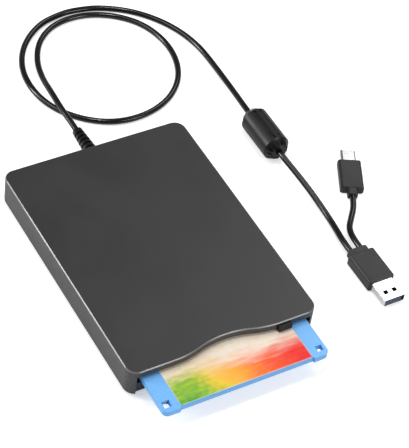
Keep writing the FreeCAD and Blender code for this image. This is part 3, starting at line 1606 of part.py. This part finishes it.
nodes = {
    "top_cover": top_cover,
    "bottom_cover": bottom_cover,
    "rubber_feet": rubber_feet,
    "case_screws": case_screws,
    "chassis": chassis,
    "inner_screws": lambda: group([chassis_screws(), board_screws()]),
    "disk_holder": disk_holder,
    "holder_pins": holder_pins,
    "slide_plate": slide_plate,
    "eject_button": eject_button,
    "slide_springs": slide_springs,
    "shutter_lever": shutter_lever,
    "lever_rivet": lever_rivet,
    "motor_board": motor_board,
    "stator": stator,
    "spindle_bearing": spindle_bearing,
    "spindle_rotor": spindle_rotor,
    "rotor_magnet": rotor_magnet,
    "drive_pin": drive_pin,
    "stepper_bracket": stepper_bracket,
    "stepper_motor": stepper_motor,
    "lead_screw": lead_screw,
    "screw_end_bearing": screw_end_bearing,
    "guide_rod": guide_rod,
    "rod_clips": rod_clips,
    "head_carriage": head_carriage,
    "lower_head": lambda: head_pad(lower_head_z - head_thickness, lower_head_z, lower_head_z),
    "upper_head_arm": upper_head_arm,
    "upper_head": lambda: head_pad(holder_plate_z, head_arm_z, holder_plate_z),
    "arm_pivot_pin": arm_pivot_pin,
    "drive_board": drive_board,
    "board_chips": board_chips,
    "board_sockets": board_sockets,
    "ribbon_cable": ribbon_cable,
    "usb_board": usb_board,
    "inner_wires": inner_wires,
    "sense_switches": sense_switches,
    "write_protect_plunger": lambda: plunger("write_protect"),
    "density_plunger": lambda: plunger("density"),
    "disk_in_plunger": lambda: plunger("disk_in"),
    "disk_shell_top": disk_shell_top,
    "disk_shell_bottom": disk_shell_bottom,
    "disk_label": disk_label,
    "write_protect_tab": write_protect_tab,
    "disk_shutter": disk_shutter,
    "disk_media": disk_media,
    "disk_hub": disk_hub,
    "disk_liners": disk_liners,
    "strain_relief": strain_relief,
    "main_cord": lambda: cord_tube("main_cord", main_cord_points),
    "choke_shell": lambda: group([choke_half(-1), choke_half(1)]),
    "choke_core": choke_core,
    "usb_a_body": usb_a_body,
    "usb_a_metal": usb_a_metal,
    "usb_a_tongue": usb_a_tongue,
    "usb_a_contacts": usb_a_contacts,
    "tether_cord": lambda: cord_tube("tether_cord", tether_cord_points),
    "usb_c_body": usb_c_body,
    "usb_c_metal": usb_c_metal,
    "usb_c_insert": usb_c_insert,
}

os.makedirs("parts", exist_ok=True)
for node, make in nodes.items():
    shape = make()
    if not shape.isValid():
        print("not valid:", node)
    shape.exportStep("parts/" + node + ".step")
print(len(nodes), "nodes; case", round(2 * half_w, 2), "x", round(case_length, 2), "x",
      round(case_top_z, 2), "mm")
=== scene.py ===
# %% [markdown]
# # A slim drive for 3.5-inch floppy disks
# The drive lies on a white table with a blue disk half out of its slot. Its cord makes
# one loop behind it, runs through a ferrite choke and ends in a wide plug, with a second,
# smaller plug on a short tether. The frame already holds every rigid piece at its real
# size. This file gives each of them its finish, draws the two cords as soft round lines,
# and sets the camera and the lights.

# %% The frame
import math

import bmesh
import bpy
from mathutils import Matrix, Vector


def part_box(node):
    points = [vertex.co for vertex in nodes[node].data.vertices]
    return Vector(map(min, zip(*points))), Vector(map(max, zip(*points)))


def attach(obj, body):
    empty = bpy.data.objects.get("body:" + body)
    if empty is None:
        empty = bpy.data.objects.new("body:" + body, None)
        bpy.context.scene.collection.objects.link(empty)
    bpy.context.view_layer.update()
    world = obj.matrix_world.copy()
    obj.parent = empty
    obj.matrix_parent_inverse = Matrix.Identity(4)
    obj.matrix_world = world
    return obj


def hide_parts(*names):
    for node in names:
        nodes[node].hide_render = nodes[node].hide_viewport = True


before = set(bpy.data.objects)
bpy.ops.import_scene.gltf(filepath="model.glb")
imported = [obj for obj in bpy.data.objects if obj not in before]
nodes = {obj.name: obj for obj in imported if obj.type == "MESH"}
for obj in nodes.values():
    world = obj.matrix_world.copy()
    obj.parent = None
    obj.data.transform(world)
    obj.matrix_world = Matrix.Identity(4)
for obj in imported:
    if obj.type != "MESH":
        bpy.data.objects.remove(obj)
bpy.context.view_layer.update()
MM = 0.001

# %% [markdown]
# ## The camera
# The photo was taken from the front left, well above the drive, with a long lens held a
# little crooked. Turning the camera by hand until things line up is slow, so the view is
# given by four numbers: how far round, how far down, how far away, and the crook. The aim
# is the point of the table in the middle of the picture.

# %% The camera
look_right = math.radians(35.213)
look_down = math.radians(46.343)
camera_crook = math.radians(8.889)
camera_distance = 0.9965
camera_aim = Vector((0.03693, 0.02543, 0.0))
camera_lens_mm = 156.0
camera_sensor_mm = 36.0
camera_sees_to = 20.0

forward = Vector((math.sin(look_right) * math.cos(look_down),
                  math.cos(look_right) * math.cos(look_down), -math.sin(look_down)))
level = forward.cross(Vector((0, 0, 1))).normalized()
upright = level.cross(forward)
picture_right = level * math.cos(camera_crook) + upright * math.sin(camera_crook)
picture_up = upright * math.cos(camera_crook) - level * math.sin(camera_crook)
lens = bpy.data.cameras.new("camera")
lens.lens = camera_lens_mm
lens.sensor_width = camera_sensor_mm
lens.clip_end = camera_sees_to
camera = bpy.data.objects.new("camera", lens)
camera.matrix_world = Matrix((picture_right, picture_up, -forward)).transposed().to_4x4()
camera.location = camera_aim - forward * camera_distance
bpy.context.scene.collection.objects.link(camera)
bpy.context.scene.camera = camera
print("camera at", [round(v, 3) for v in camera.location])

# %% [markdown]
# ## The cords
# A cord is a fixed length of something bendy that lies where its weight puts it. The long
# one leaves its strain relief at the back, comes down over its own return, goes once round
# a loop and passes through the choke. A NURBS curve with a round bevel keeps such a line
# smooth: the points pull it along without it having to touch them. The choke holds it
# straight, so two more points lie inside the choke, and the far side of the loop is rounded
# off by two points on the runs that meet there.

# %% The cords
cord_thickness = 3.3 * MM
round_steps = 6
steps_per_point = 10
main_route = [
    (2.0, 104.05, 9.0), (2.0, 112.5, 9.0), (1.8, 122.5, 8.9), (2.7, 137.0, 8.6),
    (5.4, 152.5, 3.6), (9.3, 168.0, 1.75), (17.5, 182.5, 1.65), (31.0, 192.3, 1.65),
    (48.5, 194.0, 1.65), (64.5, 188.0, 1.65), (77.5, 175.5, 1.65), (83.2, 158.5, 1.65),
    (82.5, 141.5, 1.65), (75.8, 125.5, 1.65), (62.5, 113.0, 1.65), (45.0, 107.0, 1.65),
    (26.8, 108.5, 1.65), (12.0, 117.5, 1.65), (1.2, 131.5, 1.65), (-2.9, 148.0, 1.65),
    (-1.0, 166.0, 1.65), (7.8, 182.5, 1.65), (23.0, 195.2, 1.65), (38.3, 198.8, 1.65),
    (47.4, 198.8, 1.65), (62.0, 195.8, 1.65), (79.5, 184.8, 1.65), (92.5, 167.5, 1.65),
    (99.0, 147.5, 1.65), (99.3, 127.0, 1.75), (97.6, 105.0, 4.0), (94.8, 86.0, 7.6),
    (94.8, 80.0, 7.6), (94.8, 50.0, 7.6), (94.8, 44.0, 7.6), (97.2, 26.0, 4.9),
    (98.5, 9.5, 1.9), (97.4, -5.0, 1.9), (95.0, -16.0, 3.6), (95.0, -24.0, 3.6)]
tether_route = [
    (101.0, -24.0, 3.6), (101.0, -17.0, 3.6), (103.2, -9.0, 2.7), (108.2, -3.0, 2.4),
    (114.25, 3.814, 2.6), (117.395, 10.067, 2.6)]


def lay_cord(name, route, node):
    """A round cord along a route in millimetres, in place of the frame's plain one."""
    line = bpy.data.curves.new(name, "CURVE")
    line.dimensions = "3D"
    line.bevel_depth = 1.0
    line.bevel_resolution = round_steps
    line.resolution_u = steps_per_point
    line.use_fill_caps = True
    spline = line.splines.new("NURBS")
    spline.points.add(len(route) - 1)
    for point, (x, y, z) in zip(spline.points, route):
        point.co = (x * MM, y * MM, z * MM, 1.0)
        point.radius = cord_thickness / 2
    spline.order_u = 3
    spline.use_endpoint_u = True
    cord = bpy.data.objects.new(name, line)
    bpy.context.scene.collection.objects.link(cord)
    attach(cord, "case")
    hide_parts(node)
    print(name, "has", len(route), "points")
    return cord


main_lead = lay_cord("main_lead", main_route, "main_cord")
tether_lead = lay_cord("tether_lead", tether_route, "tether_cord")

# %% [markdown]
# ## Writing finishes as sums
# A finish is a small program of nodes. Linking nodes by hand in code takes many lines, so
# one class wraps a socket and lets it be added and multiplied like a number, and another
# holds the material and makes any node from its type, its settings and its inputs.

# %% A socket that can be added and multiplied
class Flow:
    """The output of a node, written in sums like a number."""

    def __init__(self, finish, socket):
        self.finish = finish
        self.socket = socket

    def math(self, operation, first, second=0.0):
        return self.finish.node("ShaderNodeMath", {"operation": operation}, {0: first, 1: second})

    def __add__(self, other):
        return self.math("ADD", self, other)

    def __sub__(self, other):
        return self.math("SUBTRACT", self, other)

    def __rsub__(self, other):
        return self.math("SUBTRACT", other, self)

    def __mul__(self, other):
        return self.math("MULTIPLY", self, other)

    def __truediv__(self, other):
        return self.math("DIVIDE", self, other)

    def above(self, other):
        return self.math("GREATER_THAN", self, other)

    def wave(self):
        return self.math("SINE", self)

    def size(self):
        return self.math("ABSOLUTE", self)

    def larger(self, other):
        return self.math("MAXIMUM", self, other)

    __radd__ = __add__
    __rmul__ = __mul__


print("sockets can now be used in sums")

# %% A finish made of nodes
def place_stops(ramp, stops):
    """Colours along a ramp from 0 to 1, each with the place where it is pure."""
    while len(ramp.elements) < len(stops):
        ramp.elements.new(0.5)
    for element, (where, colour) in zip(ramp.elements, stops):
        element.position = where
        element.color = (*colour, 1.0)


class Finish:
    """A material with one main shader, and short ways to make the nodes that feed it."""

    def __init__(self, name, **shader):
        self.material = bpy.data.materials.new(name)
        self.material.use_nodes = True
        self.tree = self.material.node_tree
        self.tree.nodes.clear()
        self.shader = self.tree.nodes.new("ShaderNodeBsdfPrincipled")
        output = self.tree.nodes.new("ShaderNodeOutputMaterial")
        self.tree.links.new(self.shader.outputs[0], output.inputs[0])
        self.place = self.node("ShaderNodeTexCoord", {}, {}, "Object")
        self.set(**shader)

    def feed(self, socket, value):
        if isinstance(value, Flow):
            self.tree.links.new(value.socket, socket)
        elif isinstance(value, tuple) and socket.type == "RGBA" and len(value) == 3:
            socket.default_value = (*value, 1.0)
        else:
            socket.default_value = value

    def node(self, kind, settings, inputs, outlet=0):
        made = self.tree.nodes.new(kind)
        for name, value in settings.items():
            if name == "stops":
                place_stops(made.color_ramp, value)
            else:
                setattr(made, name, value)
        for key, value in inputs.items():
            self.feed(made.inputs[key], value)
        return Flow(self, made.outputs[outlet])

    def set(self, **sockets):
        for name, value in sockets.items():
            self.feed(self.shader.inputs[name.replace("_", " ")], value)

    def part(self, axis):
        return self.node("ShaderNodeSeparateXYZ", {}, {0: self.place}, axis)

    def stretched(self, scale, centre=(0.0, 0.0, 0.0), turn=(0.0, 0.0, 0.0)):
        shifted = self.node("ShaderNodeVectorMath", {"operation": "SUBTRACT"},
                            {0: self.place, 1: centre})
        return self.node("ShaderNodeMapping", {},
                         {"Vector": shifted, "Scale": scale, "Rotation": turn})

    def noise(self, scale, detail=2.0, place=None):
        return self.node("ShaderNodeTexNoise", {},
                         {"Vector": place or self.place, "Scale": scale, "Detail": detail})

    def step(self, value, low, high, to_low=0.0, to_high=1.0):
        return self.node("ShaderNodeMapRange", {"interpolation_type": "SMOOTHSTEP"},
                         {0: value, 1: low, 2: high, 3: to_low, 4: to_high})

    def spread(self, noise, to_low=0.0, to_high=1.0):
        """Noise stays near its middle, so this takes the part of it that varies."""
        return self.step(noise, 0.3, 0.7, to_low, to_high)

    def blend(self, mask, first, second, way="MIX"):
        return self.node("ShaderNodeMix", {"data_type": "RGBA", "blend_type": way},
                         {0: mask, 6: first, 7: second}, 2)

    def bump(self, height, depth):
        self.set(Normal=self.node("ShaderNodeBump", {}, {"Distance": depth, "Height": height}))

    def on(self, *names):
        for name in names:
            piece = nodes[name] if isinstance(name, str) else name
            piece.data.materials.clear()
            piece.data.materials.append(self.material)


def darker(colour, factor):
    return tuple(c * factor for c in colour)


print("finishes can now be written")

# %% [markdown]
# ## The case
# The covers are charcoal plastic with a fine spark-eroded grain on the sides and a
# smoother top. The grainy sides are also painted several times lighter than the top. This
# is painted light, standing in for the light that falls on them from the left. A flat
# colour would look like paper, so the grain lifts the surface by a few hundredths of a
# millimetre and the colour drifts a little from place to place. The change from side to top
# follows the height, because that is how the mould was finished. The narrow bevel between
# them is polished, and it is also painted much lighter, a painted highlight that shows as a
# line.

# %% The case
top_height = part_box("top_cover")[1].z
charcoal = (0.023, 0.023, 0.0242)
# The light end of the side grain is partly grain and partly painted light on the sides
grain_dark, grain_and_side_light = 0.9, 3.4
# The bevel's colour is painted this many times lighter than charcoal: a painted highlight
painted_edge_highlight = 7.0

# Depths below the top, from where a change of finish starts to where it is complete
side_to_top = (0.6 * MM, 0.05 * MM)
side_to_edge = (0.56 * MM, 0.48 * MM)
edge_to_top = (0.03 * MM, 0.005 * MM)


def moulded(name, colour, roughness=0.45, grain=2400.0, depth=0.02, mottle=0.14, **shader):
    """Dull moulded plastic: drifting colour, a fine grain and a slightly uneven shine."""
    finish = Finish(name, **shader)
    drift = finish.noise(55.0, 3.0)
    fine = finish.noise(grain, 2.0)
    light = darker(colour, 1.0 + mottle)
    shade = finish.blend(finish.step(fine, 0.35, 0.7), darker(colour, 1.0 - mottle), light)
    finish.set(Base_Color=finish.blend(finish.spread(drift, 0.0, 0.35), shade, light))
    finish.set(Roughness=finish.spread(drift, roughness - 0.05, roughness + 0.05))
    finish.bump(fine, depth * MM)
    return finish


def below_top(finish, depths):
    """A mask that rises from the first depth below the top to the second."""
    return finish.step(finish.part(2), top_height - depths[0], top_height - depths[1])


def case_plastic(name, smooth_top):
    """Grainy charcoal plastic with sides painted lighter as painted light, and, where asked, a
    satin top and a polished edge with a painted highlight.
    """
    finish = Finish(name, Specular_IOR_Level=0.5)
    drift = finish.noise(40.0, 3.0)
    fine = finish.noise(2100.0, 3.0)
    top, polished_and_highlit_edge = 0.0, 0.0
    if smooth_top:
        top = below_top(finish, side_to_top)
        polished_and_highlit_edge = below_top(finish, side_to_edge) * (1.0 - below_top(finish, edge_to_top))
    # Side colour: a real grain, painted much lighter than the top as painted side light
    grainy_and_side_lit = finish.blend(finish.spread(fine), darker(charcoal, grain_dark),
                          darker(charcoal, grain_and_side_light))
    satin = finish.blend(finish.spread(drift), darker(charcoal, 0.93), darker(charcoal, 1.07))
    body = finish.blend(top, grainy_and_side_lit, satin)
    # The bevel is polished (lower roughness below) and painted lighter as a painted highlight
    finish.set(Base_Color=finish.blend(polished_and_highlit_edge, body, darker(charcoal, painted_edge_highlight)))
    finish.set(Roughness=finish.spread(drift, 0.44, 0.5) - top * 0.08 - polished_and_highlit_edge * 0.16)
    finish.bump(fine * (1.0 - top * 0.85), 0.03 * MM)
    return finish


case_plastic("case_grain", True).on("top_cover")
case_plastic("base_grain", False).on("bottom_cover")
moulded("button_grain", (0.007, 0.007, 0.0073), 0.5, Specular_IOR_Level=0.3).on("eject_button")
moulded("foot_rubber", (0.016, 0.016, 0.016), 0.8, 1500.0, 0.04).on("rubber_feet")
print("case finished; its top is at", round(top_height / MM, 2), "mm")

# %% [markdown]
# ## Cord, choke and plugs
# The jacket is soft PVC with a clear shine, and the choke and the plugs are moulded hard and
# are a little duller. All are nearly black, so the lights do most of the work, and the
# finish only breaks up the highlights with a faint waviness. From here on each finish has
# its colour, its roughness, how fine its grain is and how deep that goes in millimetres.

# %% Cord, choke and plugs
jacket_black = (0.003, 0.003, 0.0032)
choke_black = (0.005, 0.005, 0.0053)
plug_black = (0.015, 0.015, 0.0157)
moulded("cord_jacket", jacket_black, 0.2, 900.0, 0.006).on(
    main_lead, tether_lead, "strain_relief")
moulded("choke_gloss", choke_black, 0.38, 350.0, 0.01, Specular_IOR_Level=0.35).on("choke_shell")
moulded("ferrite_grain", (0.05, 0.048, 0.047), 0.6, 1800.0, 0.03).on("choke_core")
moulded("plug_grain", plug_black, 0.4, 2600.0, 0.015, Specular_IOR_Level=0.45).on(
    "usb_a_body", "usb_c_body")
moulded("tongue_blue", (0.035, 0.07, 0.14), 0.35, 1500.0, 0.005).on("usb_a_tongue")
moulded("insert_black", (0.02, 0.02, 0.02), 0.35, 1500.0, 0.005).on("usb_c_insert")


def plated(name, colour, roughness=0.28, streak=(900.0, 60.0, 900.0)):
    """Sheet or wire metal with fine marks along Y from its rolling or drawing."""
    finish = Finish(name, Metallic=1.0)
    marks = finish.noise(1.0, 3.0, finish.stretched(streak))
    cloud = finish.noise(90.0, 3.0)
    tone = finish.blend(finish.spread(marks), darker(colour, 0.9), darker(colour, 1.06))
    clouded = finish.step(cloud, 0.35, 0.75, 0.0, 0.4)
    finish.set(Base_Color=finish.blend(clouded, tone, darker(colour, 0.82)))
    finish.set(Roughness=finish.spread(cloud, roughness - 0.04, roughness + 0.08))
    finish.bump(marks, 0.002 * MM)
    return finish


plated("plug_nickel", (0.70, 0.70, 0.71), 0.18).on("usb_a_metal", "usb_c_metal")
plated("contact_gold", (0.83, 0.6, 0.25), 0.25).on("usb_a_contacts")
print("cord, choke and plugs finished")

# %% [markdown]
# ## The floppy disk
# The shells are satin blue plastic. The label carries a colour wash of this file's own
# making: rings that spread from one corner, green to red, broken up by brush streaks and
# fading to cream at the far side. Distance from the corner gives the rings, and a ramp
# turns it into colour.

# %% The disk shells and label
disk_blue = (0.16, 0.46, 0.90)
moulded("disk_satin", disk_blue, 0.34, 1700.0, 0.005, mottle=0.04).on(
    "disk_shell_top", "disk_shell_bottom")
label_low, label_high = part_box("disk_label")
label_middle = (label_low + label_high) / 2
label_half = (label_high - label_low) / 2
label_border = 0.3 * MM
ring_middle = (label_low.x - 4.0 * MM, label_low.y - 12.0 * MM, label_high.z)
ring_reach = 82.0 * MM
cream_starts = label_low.y + 7.0 * MM
cream_is_full = label_low.y + 21.0 * MM
cream = (0.88, 0.79, 0.66)
paper = (0.85, 0.84, 0.80)
ring_colours = [(0.10, (0.07, 0.34, 0.02)), (0.24, (0.25, 0.50, 0.02)),
                (0.38, (0.85, 0.58, 0.03)), (0.55, (0.95, 0.33, 0.02)),
                (0.70, (0.92, 0.10, 0.01)), (0.88, (0.82, 0.01, 0.005))]


def label_wash():
    """Rings of colour, roughened by the brush, that fade to cream and end at a border."""
    finish = Finish("label_wash", Roughness=0.5)
    near = finish.stretched((1.0, 1.0, 0.0), ring_middle)
    distance = finish.node("ShaderNodeVectorMath", {"operation": "LENGTH"}, {0: near}, 1)
    wander = finish.noise(28.0, 4.0)
    along_brush = finish.stretched((70.0, 420.0, 0.0), ring_middle, (0.0, 0.0, 0.45))
    streaks = finish.noise(1.0, 5.0, along_brush)
    dabs = finish.noise(420.0, 8.0)
    reach = distance + (wander - 0.5) * 0.03 + (streaks - 0.5) * 0.016 + (dabs - 0.5) * 0.012
    rings = finish.node("ShaderNodeValToRGB", {"stops": ring_colours}, {0: reach / ring_reach})
    inward = finish.part(1) + (wander - 0.5) * 0.014 + (streaks - 0.5) * 0.014
    washed = finish.blend(finish.step(inward, cream_starts, cream_is_full), rings, cream)
    pools = finish.step(dabs, 0.38, 0.6, 0.3, 0.0)
    pooled = finish.blend(pools, washed, (0.95, 0.78, 0.6), "MULTIPLY")
    dry_brush = finish.step(streaks, 0.5, 0.8, 0.0, 0.15)
    painted = finish.blend(dry_brush, pooled, (0.95, 0.80, 0.55))
    side = (finish.part(0) - label_middle.x).size().above(label_half.x - label_border)
    end = (finish.part(1) - label_middle.y).size().above(label_half.y - label_border)
    finish.set(Base_Color=finish.blend(side.larger(end) * 0.5, painted, paper))
    finish.bump(finish.noise(1500.0, 3.0), 0.008 * MM)
    return finish


label_wash().on("disk_label")
moulded("tab_black", (0.03, 0.03, 0.035), 0.4).on("write_protect_tab")
plated("shutter_steel", (0.66, 0.66, 0.67), 0.3).on("disk_shutter")
plated("hub_steel", (0.6, 0.6, 0.61), 0.35).on("disk_hub")
moulded("media_brown", (0.035, 0.02, 0.012), 0.2, 500.0, 0.002).on("disk_media")
moulded("liner_weave", (0.75, 0.75, 0.74), 0.9, 4000.0, 0.04).on("disk_liners")
print("disk finished; its label is", round(2 * label_half.x / MM, 1), "mm wide")

# %% [markdown]
# ## The mechanism
# Inside are pressed steel parts, three boards, a flat disc motor and a small stepper. They
# show when a cover is off, so each gets its own finish too. Nearly all of them are sheet
# metal or moulded plastic, so the two finishes above serve again with other numbers, and
# only the boards need one of their own.

# %% The mechanism
plated("zinc_sheet", (0.60, 0.61, 0.59), 0.34).on(
    "chassis", "disk_holder", "slide_plate", "shutter_lever", "stepper_bracket", "upper_head_arm")
plated("screw_zinc", (0.52, 0.52, 0.54), 0.3).on(
    "case_screws", "inner_screws", "holder_pins", "lever_rivet", "arm_pivot_pin", "drive_pin")
plated("spring_wire", (0.5, 0.5, 0.5), 0.25).on("slide_springs")
plated("turned_steel", (0.66, 0.66, 0.67), 0.2, (40.0, 2500.0, 40.0)).on(
    "lead_screw", "guide_rod", "spindle_rotor")
plated("motor_can", (0.62, 0.62, 0.62), 0.25, (60.0, 900.0, 60.0)).on("stepper_motor")
plated("bronze", (0.55, 0.36, 0.17), 0.4).on("spindle_bearing")
plated("copper_wire", (0.62, 0.26, 0.11), 0.3, (2500.0, 2500.0, 60.0)).on("stator")
moulded("magnet_black", (0.05, 0.05, 0.05), 0.6).on("rotor_magnet")
moulded("inner_black", (0.045, 0.045, 0.045), 0.5).on(
    "head_carriage", "rod_clips", "screw_end_bearing")
moulded("head_ceramic", (0.28, 0.28, 0.3), 0.12, 600.0, 0.002).on("lower_head", "upper_head")
moulded("chip_black", (0.02, 0.02, 0.02), 0.5).on("board_chips", "sense_switches")
moulded("nylon_white", (0.72, 0.70, 0.62), 0.45).on(
    "board_sockets", "write_protect_plunger", "density_plunger", "disk_in_plunger")
moulded("ribbon_film", (0.68, 0.68, 0.70), 0.35).on("ribbon_cable")
moulded("wire_red", (0.45, 0.03, 0.02), 0.4).on("inner_wires")


trace_waves = 5200.0
mask_green = (0.006, 0.075, 0.03)
trace_green = (0.02, 0.16, 0.06)


def board_mask():
    """Green lacquer with raised traces that run along X in some zones and Y in others."""
    finish = Finish("board_mask", Roughness=0.35)
    rows = (finish.part(1) * trace_waves).wave().above(0.3)
    columns = (finish.part(0) * trace_waves).wave().above(0.3)
    in_rows = finish.noise(130.0, 0.0).above(0.5)
    traces = rows * in_rows + columns * (1.0 - in_rows)
    copper = traces * finish.noise(420.0, 0.0).above(0.45)
    finish.set(Base_Color=finish.blend(copper, mask_green, trace_green))
    finish.bump(copper, 0.03 * MM)
    return finish


board_mask().on("motor_board", "drive_board", "usb_board")
print("mechanism finished")

# %% [markdown]
# ## The table and the light
# The drive stands on a white table under soft studio light. A wide lamp at the back left
# makes the soft shadow under the front edge. A small lamp above makes shadows crisp close to
# the edges that cast them, and one at the back right lightens the top on that side. Two
# narrow strips stand where the bevels along the left and front edges mirror them, so those
# edges show as thin lines. The camera sees the table a little brighter than the lamps make
# it, which gives the photo's white ground without more light on the drive.

# %% The table
table_half = 6.0
table_glow = 0.5


def white_table():
    form = bmesh.new()
    bmesh.ops.create_grid(form, x_segments=1, y_segments=1, size=table_half)
    mesh = bpy.data.meshes.new("table")
    form.to_mesh(mesh)
    form.free()
    table = bpy.data.objects.new("table", mesh)
    bpy.context.scene.collection.objects.link(table)
    paint = Finish("table_white", Roughness=0.9, Specular_IOR_Level=0.1)
    seen = paint.node("ShaderNodeLightPath", {}, {}, "Is Camera Ray")
    paint.set(Base_Color=(0.9, 0.9, 0.9), Emission_Strength=table_glow)
    paint.set(Emission_Color=paint.blend(seen, (0.0, 0.0, 0.0), (1.0, 1.0, 1.0)))
    mesh.materials.append(paint.material)


white_table()
print("table in place")

# %% The lamps
def lamp(name, place, aim, size, power):
    """A flat lamp at a place in metres, turned to its aim."""
    light = bpy.data.lights.new(name, "AREA")
    light.shape = "RECTANGLE"
    light.size, light.size_y = size
    light.energy = power
    holder = bpy.data.objects.new(name, light)
    holder.location = place
    holder.rotation_euler = (Vector(aim) - Vector(place)).to_track_quat("-Z", "Y").to_euler()
    bpy.context.scene.collection.objects.link(holder)


drive_middle = (0.0, 0.0, 0.0)
lamp("key_panel", (-0.9, 0.5, 1.3), drive_middle, (1.1, 1.1), 10.0)
lamp("top_lamp", (0.0, 0.15, 1.5), (0.0, 0.1, 0.0), (0.16, 0.16), 5.5)
lamp("right_panel", (0.92, 0.56, 1.2), drive_middle, (0.6, 0.6), 4.0)
lamp("left_strip", (-1.13, 0.85, 0.49), drive_middle, (0.25, 0.5), 8.0)
lamp("front_strip", (0.49, -1.13, 0.85), drive_middle, (0.7, 0.2), 7.0)
studio_white = (1.0, 1.0, 1.0, 1.0)
studio_strength = 0.23
world = bpy.data.worlds.new("studio")
world.use_nodes = True
background = world.node_tree.nodes["Background"]
background.inputs[0].default_value = studio_white
background.inputs[1].default_value = studio_strength
bpy.context.scene.world = world
bpy.context.scene.view_settings.view_transform = "Standard"
print("five lamps lit")
